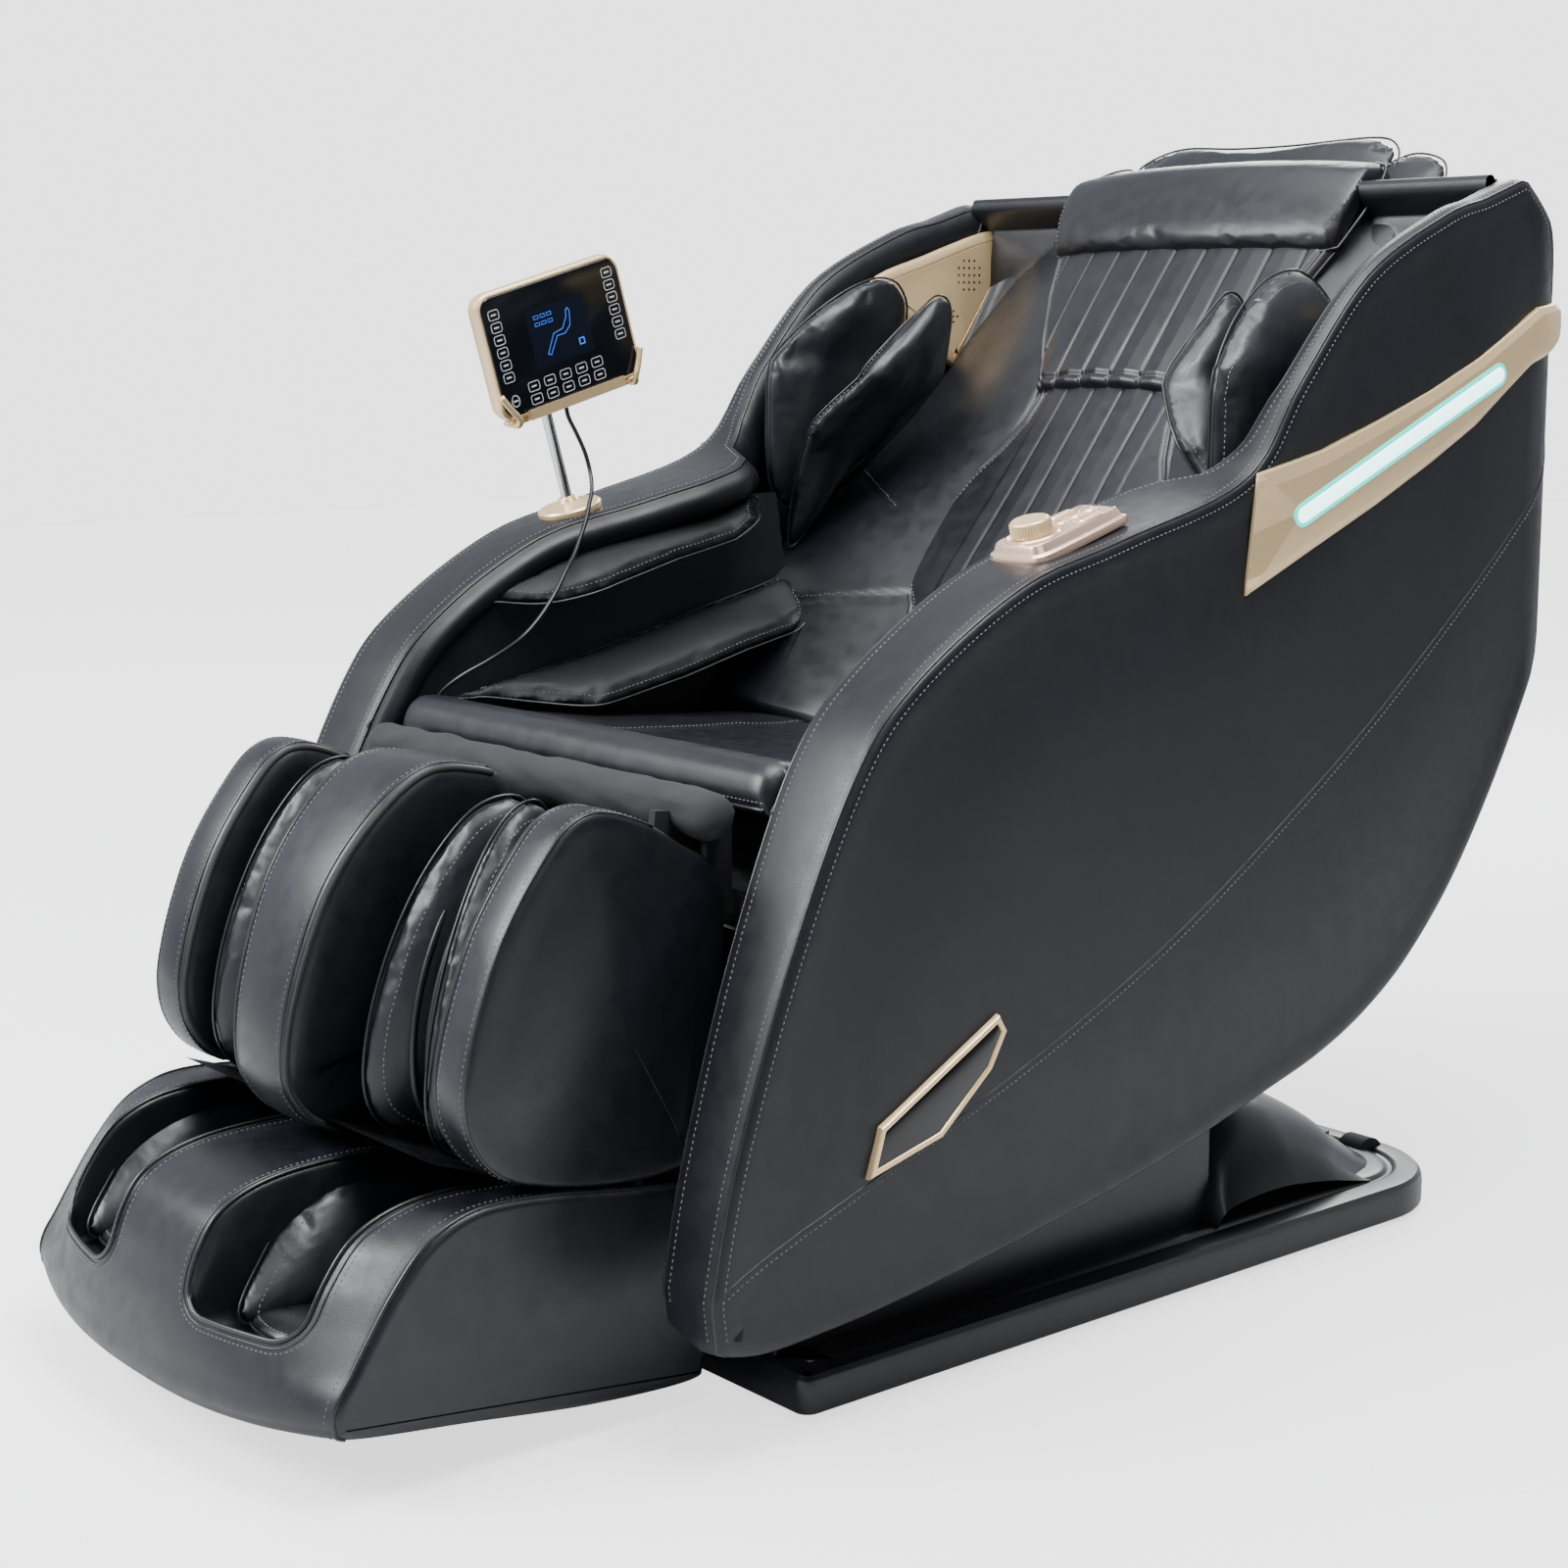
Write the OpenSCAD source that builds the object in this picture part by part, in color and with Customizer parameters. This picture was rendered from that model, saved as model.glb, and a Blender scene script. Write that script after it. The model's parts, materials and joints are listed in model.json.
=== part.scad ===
// Massage chair with a tilting shell seat, a lifting legrest and a massage mechanism in the back.
// +X is the sitter's left, the front faces -Y, and the floor is at z = 0 under the base's centre.

/* [Shell] */
// Overall width over the side panels
chair_w = 780; // [770:5:800]
// Thickness of each hollow side panel
panel_t = 40; // [36:1:42]
// Width of each armrest box beside its panel
arm_t = 50; // [46:1:52]
// Wall thickness of the moulded shells
wall = 7; // [5:1:9]
// Radius of the shell's upright rear corners
corner_r = 110; // [90:5:120]

/* [Back and seat] */
// Lean of the backrest from upright, in degrees
recline = 38; // [36:1:40]
// Half the width of the seat cushion
seat_half = 278; // [270:1:284]
// Thickness of the backrest pad
pad_t = 50; // [44:1:52]

/* [Legrest] */
// Half the width of the calf unit
calf_half = 262; // [250:1:268]
// Width of each calf and foot well
well_w = 138; // [126:1:142]
// Radius of the foot unit's slide tubes
slide_r = 10; // [8:0.5:11]

/* [Mechanism] */
// Radius of the main hinge pins
pin_r = 8; // [6:0.5:9]
// Radius of the carriage's lead screw
screw_r = 8; // [6:0.5:9]
// Radius of each massage roller
roller_r = 21; // [17:0.5:22]
// Radial clearance of running fits
fit = 0.06; // [0.03:0.01:0.09]

/* [Tablet and arm controls] */
// Width of the tablet
tablet_w = 175; // [160:1:180]
// Height of the tablet
tablet_h = 125; // [115:1:130]
// Radius of the tablet's pole
pole_r = 5.5; // [4:0.5:6]
// Radius of the control knob
knob_r = 17; // [14:0.5:18]

/* [Hidden] */
$fn = 48;
half_w = chair_w / 2;
panel_in = half_w - panel_t;
arm_in = panel_in - arm_t;
gap = 0.4;
shell_rear = 508;
tilt_axis = [40, 205];
lift_axis = [-455, 490];
back_foot = [12, 480];
// Slope of the armrest under the tablet flange and the control plate
arm_slope = 15.5;
plate_at = [335, -148, 700];
flange_at = [-335, -178, 691.5];
// Slide direction of the foot unit leans forward by this angle
foot_lean = 7.5;

// Side outline of the shell (y, z), from the panel's front foot along the bottom and up the rear
rear_line = [[-562, 100], [-540, 92], [-500, 88], [-400, 95], [-290, 110], [-170, 130], [-50, 155],
    [70, 188], [150, 212], [215, 242], [275, 284], [343, 356], [412, 461], [470, 575], [496, 665],
    [508, 760], [502, 857], [483, 915], [462, 972], [432, 1008]];
// The same outline from the top of the wing down over the armrest to the front foot
front_line = [[350, 990], [294, 975], [184, 921], [95, 828], [27, 747], [-125, 703], [-243, 671],
    [-360, 602], [-423, 531], [-492, 387], [-544, 241], [-567, 140]];

// ---------- shared shapes ----------

function spline(a, b, c, d, t) =
    0.5 * (2 * b + (c - a) * t + (2 * a - 5 * b + 4 * c - d) * t * t
        + (3 * b - a - 3 * c + d) * t * t * t);
// Smooth open curve through the points p
function curve(p, steps) = concat(
    [for (i = [0:len(p) - 2], j = [0:steps - 1])
        spline(p[max(i - 1, 0)], p[i], p[i + 1], p[min(i + 2, len(p) - 1)], j / steps)],
    [p[len(p) - 1]]);
function unit(v) = v / norm(v);
// Moves each point of the closed counter-clockwise outline p inward by d
function inset(p, d) = [for (i = [0:len(p) - 1])
    let (t = unit(p[(i + 1) % len(p)] - p[(i + len(p) - 1) % len(p)]))
    p[i] + d * [-t[1], t[0]]];

shell_line = concat(curve(rear_line, 3), curve(front_line, 3));

// Extrudes a (y, z) outline between two x values
module across(x0, x1) {
    translate([x0, 0, 0]) rotate([90, 0, 90]) linear_extrude(x1 - x0) children();
}
module on_back() {
    translate([0, back_foot[0], back_foot[1]]) rotate([-recline, 0, 0]) children();
}
module on_arm(place) {
    translate(place) rotate([arm_slope, 0, 0]) children();
}
module on_foot() {
    translate([0, lift_axis[0], lift_axis[1]]) rotate([-foot_lean, 0, 0]) children();
}
module rod_x(x0, x1, y, z, r) {
    translate([x0, y, z]) rotate([0, 90, 0]) cylinder(r = r, h = x1 - x0);
}
module both_sides() {
    children();
    mirror([1, 0, 0]) children();
}
// Box with rounded upright edges, centred in x and y
module slab(w, d, h, r) {
    linear_extrude(h) rounded(w, d, r);
}
module rounded(w, d, r) {
    square([w - 2 * r, d], center = true);
    square([w, d - 2 * r], center = true);
    for (sx = [-1, 1], sy = [-1, 1]) translate([sx * (w / 2 - r), sy * (d / 2 - r)]) circle(r);
}
// Plan of the shell with its rounded rear corners
module shell_plan(shrink) {
    w = half_w - shrink;
    r = corner_r - shrink;
    rear = shell_rear - shrink;
    front = -700;
    translate([-w, front]) square([2 * w, rear - r - front]);
    translate([-(w - r), front]) square([2 * (w - r), rear - front]);
    for (s = [-1, 1]) translate([s * (w - r), rear - r]) circle(r);
}
module shell_solid(shrink, x0, x1) {
    intersection() {
        across(x0, x1) polygon(shrink == 0 ? shell_line : inset(shell_line, shrink));
        translate([0, 0, -10]) linear_extrude(1300) shell_plan(shrink);
    }
}

// ---------- base, which stands on the floor ----------

wheel_x = 236;
module base_frame() color("dimgray") {
    rail = 40;
    tower_x = 276;
    difference() {
        union() {
            for (s = [-1, 1]) translate([s * 220 - 20, -400, 4]) cube([rail, 770, 30]);
            for (y = [-400, -190, -20, 330]) translate([-290, y, 4]) cube([580, rail, 30]);
            for (s = [-1, 1]) translate([s * tower_x - 8, 0, 4]) cube([16, 80, 180]);
            for (s = [-1, 1]) rod_x(s * tower_x - 8, s * tower_x + 8, tilt_axis[0], tilt_axis[1], 26);
            // clevis of the tilt actuator
            for (s = [-1, 1]) translate([s * 24 - 4, -190, 30]) cube([8, 38, 30]);
        }
        rod_x(-300, 300, tilt_axis[0], tilt_axis[1], pin_r + fit);
        rod_x(-40, 40, -171, 45, 6 + fit);
    }
    // brackets and axles of the transport wheels
    for (s = [-1, 1]) rod_x(s * (wheel_x - 5) - 30, s * (wheel_x - 5) + 30, 400, 26, 6);
    for (s = [-1, 1]) translate([s * (wheel_x - 30) - 5, 360, 16]) cube([10, 50, 20]);
}

// Plan of the base cover: square at the front, with large round corners at the rear
module cover_plan(shrink) {
    w = 350 - shrink;
    r = 110 - shrink;
    front = -443 + shrink;
    rear = 430 - shrink;
    translate([-w, front]) square([2 * w, rear - r - front]);
    translate([r - w, front]) square([2 * (w - r), rear - front]);
    for (s = [-1, 1]) translate([s * (w - r), rear - r]) circle(r);
}
module base_cover() color([0.05, 0.05, 0.06]) {
    tail = [[90, 35], [110, 120], [140, 150], [178, 160], [236, 141], [312, 107], [360, 74],
        [405, 44], [430, 34], [430, 30]];
    tail_inside = [[97, 20], [117, 115], [143, 142], [177, 152], [233, 134], [308, 100],
        [355, 68], [398, 41], [424, 32], [424, 20]];
    skirt = [[-430, 36], [-430, 72], [-290, 96], [-170, 116], [-50, 140], [60, 160], [104, 150],
        [104, 36]];
    deck_z = 34;
    difference() {
        union() {
            translate([0, 0, 6]) linear_extrude(32) difference() {
                cover_plan(0);
                cover_plan(6);
            }
            translate([-349, -442, deck_z]) cube([698, 536, 4]);
            for (s = [-1, 1]) across(s * 293 - 3, s * 293 + 3) polygon(skirt);
            translate([-294, -430, deck_z]) cube([588, 5, 37]);
            difference() {
                intersection() {
                    across(-346, 346) polygon(tail);
                    linear_extrude(200) cover_plan(6);
                }
                intersection() {
                    across(-346, 346) polygon(tail_inside);
                    linear_extrude(200) cover_plan(13);
                }
            }
        }
        // open mouth between the two front prongs
        translate([-180, -460, 0]) cube([360, 70, 100]);
        // openings for the tilt towers and the tilt actuator
        for (s = [-1, 1]) translate([s * 276 - 12, -5, 20]) cube([24, 90, 40]);
        translate([-60, -205, 20]) cube([160, 110, 40]);
        // wheel wells and the mouth of the power inlet
        for (s = [-1, 1]) translate([s * wheel_x - 24, 366, -1]) cube([48, 70, 62]);
        translate([-115, 387, 6]) cube([100, 60, 30]);
    }
}

module rubber_feet() color([0.1, 0.1, 0.1]) {
    for (x = [-220, 220], y = [-360, 300]) translate([x, y, 0]) cylinder(r = 18, h = 4);
    slab(90, 36, 4, 6);
}

module transport_wheel(side) color([0.12, 0.12, 0.12]) difference() {
    union() {
        rod_x(side * wheel_x - 14, side * wheel_x + 14, 400, 26, 22);
        rod_x(side * wheel_x - 16, side * wheel_x + 16, 400, 26, 11);
    }
    rod_x(side * wheel_x - 20, side * wheel_x + 20, 400, 26, 6 + fit);
}
module transport_wheel_left() transport_wheel(1);
module transport_wheel_right() transport_wheel(-1);

// Rear inlet block: a three-pin socket beside the rocker switch
switch_at = [-38, 422];
module power_inlet() color([0.08, 0.08, 0.09]) difference() {
    translate([-115, 387, 6]) cube([100, 43, 30]);
    translate([-105, 412, 11]) cube([36, 30, 20]);
    translate([switch_at[0] - 11, 414, 14]) cube([22, 30, 14]);
    translate([switch_at[0], switch_at[1], 9]) cylinder(r = 2 + fit, h = 25);
}
module power_switch() color("red") translate([switch_at[0], switch_at[1], 0]) {
    translate([0, 0, 14.5]) rotate(-6) translate([-9, -4, 0]) cube([18, 11, 13]);
    translate([0, 0, 9.5]) cylinder(r = 2, h = 24);
}

module control_box() color([0.3, 0.32, 0.3]) {
    translate([120, 200, 34]) cube([150, 110, 45]);
}

module tilt_pins() color("silver") {
    for (s = [-1, 1]) rod_x(s * 266 - 21, s * 266 + 21, tilt_axis[0], tilt_axis[1], pin_r);
    rod_x(-29, 29, -171, 45, 6);
}

// ---------- tilt actuator: the rod slides out of the housing and pushes the seat frame ----------

actuator_foot = [-171, 45];
actuator_angle = 79;
module along_actuator() {
    translate([0, actuator_foot[0], actuator_foot[1]]) rotate([actuator_angle, 0, 0]) children();
}
module tilt_actuator() color([0.15, 0.15, 0.16]) difference() {
    union() {
        rod_x(-18, 18, actuator_foot[0], actuator_foot[1], 10.5);
        along_actuator() translate([0, 8, 0]) rotate([-90, 0, 0]) cylinder(r = 18, h = 112);
        along_actuator() translate([12, 22, -18]) cube([70, 46, 36]);
    }
    rod_x(-20, 20, actuator_foot[0], actuator_foot[1], 6 + fit);
    along_actuator() translate([0, 30, 0]) rotate([-90, 0, 0]) cylinder(r = 9 + fit, h = 100);
}
module tilt_rod() color("silver") difference() {
    union() {
        along_actuator() translate([0, 34, 0]) rotate([-90, 0, 0]) cylinder(r = 9, h = 114);
        along_actuator() translate([-9, 162.8, 0]) rotate([0, 90, 0]) cylinder(r = 17, h = 18);
    }
    // oversize eye: the clearance that this opened pivot needs
    along_actuator() translate([-12, 162.8, 0]) rotate([0, 90, 0]) cylinder(r = 10.5, h = 24);
}

// ---------- seat frame ----------

module seat_frame() color("dimgray") difference() {
    rail = 30;
    union() {
        for (s = [-1, 1]) translate([s * 235 - 15, -424, 394]) cube([rail, 560, rail]);
        for (y = [-424, 106]) translate([-240, y, 394]) cube([480, rail, rail]);
        // tilt lugs
        for (s = [-1, 1]) {
            translate([s * 254 - 4, 10, 190]) cube([8, 60, 210]);
            translate([s * 248 - 10, 10, 384]) cube([20, 60, 20]);
            rod_x(s * 254 - 4, s * 254 + 4, tilt_axis[0], tilt_axis[1], 26);
        }
        // legrest lugs
        for (s = [-1, 1]) {
            translate([s * 235 - 4, -440, 404]) cube([8, 40, 14]);
            translate([s * 235 - 4, -452, 404]) cube([8, 26, 88]);
            rod_x(s * 235 - 4, s * 235 + 4, lift_axis[0], lift_axis[1], 15);
        }
        // cross tube and fork for the tilt rod
        translate([-240, -152, 300]) cube([480, 24, 24]);
        for (s = [-1, 1]) translate([s * 238 - 4, -152, 300]) cube([8, 24, 100]);
        for (s = [-1, 1]) translate([s * 20 - 4, -152, 190]) cube([8, 24, 112]);
        // back uprights and cross tubes
        on_back() {
            for (s = [-1, 1]) translate([s * 175 - 15, 104, -30]) cube([30, 40, 612]);
            translate([-180, 124, 20]) cube([360, 20, 24]);
            translate([-180, 124, 556]) cube([360, 20, 24]);
        }
        // gussets from the uprights down to the rails
        for (s = [-1, 1]) across(s * 190 - 30, s * 190 + 30)
            polygon([[60, 394], [136, 394], [136, 480], [110, 450], [70, 424]]);
        // screw bearings
        on_back() {
            translate([-14, 143, 24]) cube([28, 22, 14]);
            translate([-14, 143, 562]) cube([28, 22, 14]);
        }
    }
    rod_x(-300, 300, tilt_axis[0], tilt_axis[1], pin_r + fit);
    rod_x(-300, 300, lift_axis[0], lift_axis[1], pin_r);
    rod_x(-26, 26, -140, 205, 6);
    on_back() translate([0, 155, 0]) cylinder(r = 5 + fit, h = 600);
}

module legrest_pins() color("silver") {
    for (s = [-1, 1]) rod_x(s * 226 - 16, s * 226 + 16, lift_axis[0], lift_axis[1], pin_r - 0.02);
    rod_x(-25, 25, -140, 205, 5.98);
}

// ---------- shell: side panels, arm boxes and back ----------

module side_panel() {
    difference() {
        shell_solid(0, panel_in, half_w);
        // the blow-moulded panel is hollow inside its skin
        shell_solid(wall, panel_in + wall, half_w - wall);
    }
}
module side_panel_left() color([0.09, 0.09, 0.1]) side_panel();
module side_panel_right() color([0.09, 0.09, 0.1]) mirror([1, 0, 0]) side_panel();

module arm_box() {
    rear = 52;
    difference() {
        intersection() {
            across(arm_in, panel_in - gap) polygon(shell_line);
            translate([0, -700, 0]) cube([half_w, 700 + rear, 1200]);
        }
        intersection() {
            across(arm_in + wall, panel_in) polygon(inset(shell_line, wall));
            translate([0, -700, 0]) cube([half_w, 700 + rear - wall, 1200]);
        }
    }
}
module arm_box_left() color([0.11, 0.11, 0.12]) arm_box();
module arm_box_right() color([0.11, 0.11, 0.12]) mirror([1, 0, 0]) arm_box();

module back_cover() color([0.08, 0.08, 0.09]) difference() {
    shell_solid(0, -panel_in + gap, panel_in - gap);
    shell_solid(wall, -panel_in, panel_in);
    translate([-400, -700, 0]) cube([800, 790, 1200]);
    on_back() translate([-400, -900, -400]) cube([800, 956, 1500]);
}

// ---------- seat and back padding ----------

module seat_board() color("burlywood") {
    translate([-265, -416, 424]) cube([530, 416, 14]);
}
module seat_cushion() color([0.1, 0.1, 0.11]) {
    across(-seat_half, seat_half) polygon(concat([[4, 470], [4, 439], [-405, 439]],
        curve([[-416, 455], [-420, 500], [-414, 526], [-396, 534], [-360, 531], [-200, 502]], 3)));
}

module guide_rails() color("silver") on_back() both_sides() {
    difference() {
        translate([118, 96, 30]) cube([26, 28, 540]);
        translate([110, 100, 29]) cube([30, 20, 542]);
        translate([110, 104, 29]) cube([30, 12, 542]);
    }
}

module backrest_pad() color([0.1, 0.1, 0.11]) on_back() {
    translate([-196, 0, 2]) cube([392, pad_t, 636]);
}
module back_bolsters() color([0.1, 0.1, 0.11]) on_back() both_sides() {
    translate([200, -30, 2]) cube([arm_in - 204, 80, 400]);
    translate([200, -14, 403]) cube([arm_in - 190, 64, 230]);
}
module head_pillow() color([0.12, 0.12, 0.13]) on_back() {
    translate([-186, -32, 438]) cube([372, 30, 250]);
    translate([-160, 4, 650]) cube([320, 40, 118]);
    both_sides() translate([164, 16, 645]) cube([70, 34, 93]);
}
module shoulder_airbags() color([0.1, 0.1, 0.11]) on_back() both_sides() {
    lobe = [[-150, 345], [-128, 300], [-34, 300], [-34, 505], [-100, 490], [-150, 420]];
    for (x = [218, 259]) across(x, x + 37) polygon(lobe);
}
module arm_airbags() color([0.1, 0.1, 0.11]) both_sides() {
    across(246, arm_in - 1) polygon([[-360, 578], [-323, 586], [-265, 600], [-181, 628], [-107, 646],
        [-40, 660], [-40, 680], [-107, 668], [-181, 650], [-265, 622], [-340, 600]]);
    across(246, arm_in - 1) polygon([[-300, 531], [-183, 548], [-109, 562], [-40, 580],
        [-40, 606], [-109, 588], [-183, 572], [-300, 551]]);
}

// ---------- trim on the shell ----------

trim_line = [[36, 751], [22, 646], [194, 716], [335, 782], [396, 829], [396, 871], [331, 841],
    [191, 791], [59, 754]];
led_ends = [[87, 713], [362, 829]];
// Flat bar with round ends between two (y, z) points
module bar_outline(a, b, w) {
    lean = atan2(b[1] - a[1], b[0] - a[0]);
    polygon(concat([for (t = [90:15:270]) a + w / 2 * [cos(lean + t), sin(lean + t)]],
        [for (t = [-90:15:90]) b + w / 2 * [cos(lean + t), sin(lean + t)]]));
}
module side_trims() color("goldenrod") both_sides() difference() {
    across(half_w, half_w + 7) polygon(trim_line);
    across(half_w + 3, half_w + 8) bar_outline(led_ends[0], led_ends[1], 20);
}
module led_strips() color("aqua") both_sides() {
    across(half_w + 3, half_w + 6.5) bar_outline(led_ends[0], led_ends[1], 19.4);
}
badge_line = [[-403, 253], [-416, 212], [-337, 232], [-282, 279], [-265, 309], [-274, 324]];
module badge_bezels() color("goldenrod") both_sides() difference() {
    across(half_w, half_w + 4) polygon(badge_line);
    across(half_w + 2, half_w + 5) polygon(inset(badge_line, 8));
}
module badge_inserts() color("black") both_sides() {
    across(half_w + 2, half_w + 3.5) polygon(inset(badge_line, 8.4));
}
module speaker_panels() color("goldenrod") both_sides() difference() {
    across(panel_in - 18, panel_in - gap) polygon([[240, 912], [280, 868], [352, 838], [430, 935],
        [418, 962], [350, 958]]);
    // sound holes in front of the two drivers
    for (i = [-2:2], j = [-2:2]) if (abs(i) + abs(j) < 4)
        rod_x(panel_in - 20, panel_in - 10, 355 + i * 9, 922 + j * 9, 1.5);
    for (i = [-1:1], j = [-1:1]) rod_x(panel_in - 20, panel_in - 10, 352 + i * 7, 872 + j * 7, 1.2);
    rod_x(panel_in - 13, panel_in + 1, 355, 922, 26);
    rod_x(panel_in - 13, panel_in + 1, 352, 872, 13);
}

module air_pump() color([0.25, 0.27, 0.3]) {
    translate([-155, -70, 361]) cube([105, 150, 62]);
    translate([60, -60, 373]) cube([90, 110, 50]);
    rod_x(-51, 61, 0, 395, 6);
}

// ---------- arm controls ----------

// Local place (x, y), size (w, d) and corner radius of each button on the control plate
buttons = [[0, 4, 11, 11, 5.4], [0, 21, 11, 11, 5.4], [0, 38, 13, 13, 6.4], [-17, 21, 8, 26, 3.9],
    [17, 21, 8, 26, 3.9]];
plate_top = 14;
module control_plate() color([0.85, 0.72, 0.6]) on_arm(plate_at) difference() {
    union() {
        slab(62, 110, 8, 14);
        translate([0, 0, 7.9]) slab(52, 98, plate_top - 7.9, 12);
    }
    translate([0, -29, 2]) cylinder(r = 4 + fit, h = 20);
    for (b = buttons) translate([b[0], b[1], 6]) slab(b[2] + 0.8, b[3] + 0.8, 20, b[4] + 0.3);
}
module control_knob() color([0.9, 0.8, 0.6]) on_arm(plate_at) translate([0, -29, 0]) {
    translate([0, 0, 3]) cylinder(r = 4, h = 13);
    difference() {
        translate([0, 0, plate_top + 0.5]) cylinder(r = knob_r, h = 13);
        for (a = [0:12:359]) rotate(a) translate([knob_r + 0.6, 0, plate_top]) cylinder(r = 1.2, h = 20);
    }
}
module control_button(i) color([0.88, 0.78, 0.68]) on_arm(plate_at) {
    b = buttons[i];
    translate([b[0], b[1], 7.8]) slab(b[2], b[3], plate_top - 7.8 + 0.8, b[4]);
}
module control_button_1() control_button(0);
module control_button_2() control_button(1);
module control_button_3() control_button(2);
module control_button_4() control_button(3);
module control_button_5() control_button(4);

// ---------- tablet on its pole ----------

pole_top = 112;
tablet_shift = 17;
tilt_pin_r = 3;
module tablet_flange() color("goldenrod") on_arm(flange_at) difference() {
    union() {
        cylinder(r = 33, h = 6);
        translate([0, 0, 5.9]) cylinder(r = 12, h = 6);
    }
    translate([0, 0, 2]) cylinder(r = pole_r + fit, h = 20);
}
module tablet_pole() color("silver") on_arm(flange_at) difference() {
    union() {
        translate([0, 0, 2.2]) cylinder(r = pole_r, h = pole_top - 8);
        translate([0, -12, pole_top]) rotate([-90, 0, 0]) cylinder(r = 8, h = 24);
    }
    translate([0, -14, pole_top]) rotate([-90, 0, 0]) cylinder(r = tilt_pin_r + fit, h = 28);
}
module tablet_cradle() color("goldenrod") on_arm(flange_at) {
    for (s = [-1, 1]) {
        translate([0, s * 15.5 - 2.5, pole_top]) rotate([-90, 0, 0]) cylinder(r = 8, h = 5);
        translate([0, s * 15.5 - 2.5, pole_top - 4]) cube([12, 5, 12]);
    }
    translate([0, -17, pole_top]) rotate([-90, 0, 0]) cylinder(r = tilt_pin_r, h = 34);
    translate([9, tablet_shift - 60, pole_top + 3]) cube([4, 120, 70]);
    translate([9, tablet_shift - 60, pole_top - 2]) cube([30, 120, 5]);
    translate([36, tablet_shift - 60, pole_top - 2]) cube([3, 120, 10]);
    // cord gland with a round tip centred on the tilt axis
    translate([0, 27, pole_top]) sphere(r = 4.5);
    translate([0, 24, pole_top - 3]) cube([12, 6, 6]);
}
module tablet_case() color("goldenrod") on_arm(flange_at) difference() {
    translate([13.2, tablet_shift, pole_top + 3.2 + tablet_h / 2]) rotate([90, 0, 90])
        slab(tablet_w, tablet_h, 20, 14);
    translate([31.2, tablet_shift, pole_top + 3.2 + tablet_h / 2]) rotate([90, 0, 90])
        slab(tablet_w - 8, tablet_h - 8, 5, 11);
}
module tablet_glass() color("black") on_arm(flange_at) {
    translate([31.2, tablet_shift, pole_top + 3.2 + tablet_h / 2]) rotate([90, 0, 90])
        slab(tablet_w - 8.6, tablet_h - 8.6, 2.2, 10.7);
}

// Route of the tablet's lead: out of the gland, down past the flange, over the arm and into the seat
cord_r = 2.25;
cord_route = [[-335, -181.5, 801.8], [-334, -179, 787], [-330, -172, 770], [-324, -166, 750],
    [-317, -165, 730], [-308, -170, 714], [-299, -180, 700], [-289, -192, 684], [-278, -207, 668],
    [-265, -224, 653], [-251, -243, 641], [-239, -265, 621], [-233, -290, 597], [-233, -314, 578],
    [-246, -337, 561], [-266, -357, 545], [-284.5, -370, 528], [-290, -377, 510]];
module tablet_cord() color([0.05, 0.05, 0.05]) {
    sides = 8;
    path = curve(cord_route, 3);
    rings = len(path);
    heading = [for (i = [0:rings - 1]) unit(path[min(i + 1, rings - 1)] - path[max(i - 1, 0)])];
    side_way = [for (h = heading) unit(cross(h, [1, 0.2, 0]))];
    points = [for (i = [0:rings - 1], k = [0:sides - 1])
        path[i] + cord_r * (cos(360 * k / sides) * side_way[i]
            + sin(360 * k / sides) * cross(heading[i], side_way[i]))];
    ends = [[for (k = [sides - 1:-1:0]) k], [for (k = [0:sides - 1]) (rings - 1) * sides + k]];
    walls = [for (i = [0:rings - 2], k = [0:sides - 1])
        [i * sides + k, i * sides + (k + 1) % sides, (i + 1) * sides + (k + 1) % sides,
            (i + 1) * sides + k]];
    polyhedron(points, concat(ends, walls));
}

// ---------- massage mechanism, in the back's own frame ----------

carriage_s = 60;
arm_pivot = [88, carriage_s + 70];
roller_reach = 52;
roller_x = 75;
module lead_screw() color("silver") on_back() {
    translate([0, 155, 39]) cylinder(r = screw_r, h = 522);
    translate([0, 155, 20]) cylinder(r = 5, h = 560);
}
module carriage_frame() color([0.35, 0.36, 0.38]) on_back() difference() {
    union() {
        translate([-112, 110, carriage_s]) cube([224, 6, 140]);
        for (s = [-1, 1], z = [5, 105]) translate([s * 124 - 14, 104.6, carriage_s + z]) cube([28, 10.8, 30]);
        for (x = [-104, -6, 92]) translate([x, 78, arm_pivot[1] - 10]) cube([12, 34, 20]);
        translate([-16, 115, carriage_s + 55]) cube([32, 54, 30]);
    }
    translate([0, 155, carriage_s]) cylinder(r = screw_r + fit, h = 140);
    translate([-110, arm_pivot[0], arm_pivot[1]]) rotate([0, 90, 0]) cylinder(r = 5, h = 220);
}
module carriage_motor() color([0.2, 0.2, 0.22]) on_back() {
    translate([-100, 116.2, carriage_s + 40]) cube([70, 40, 60]);
    translate([-100, arm_pivot[0], arm_pivot[1]]) rotate([0, 90, 0]) cylinder(r = 4.98, h = 200);
}
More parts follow.
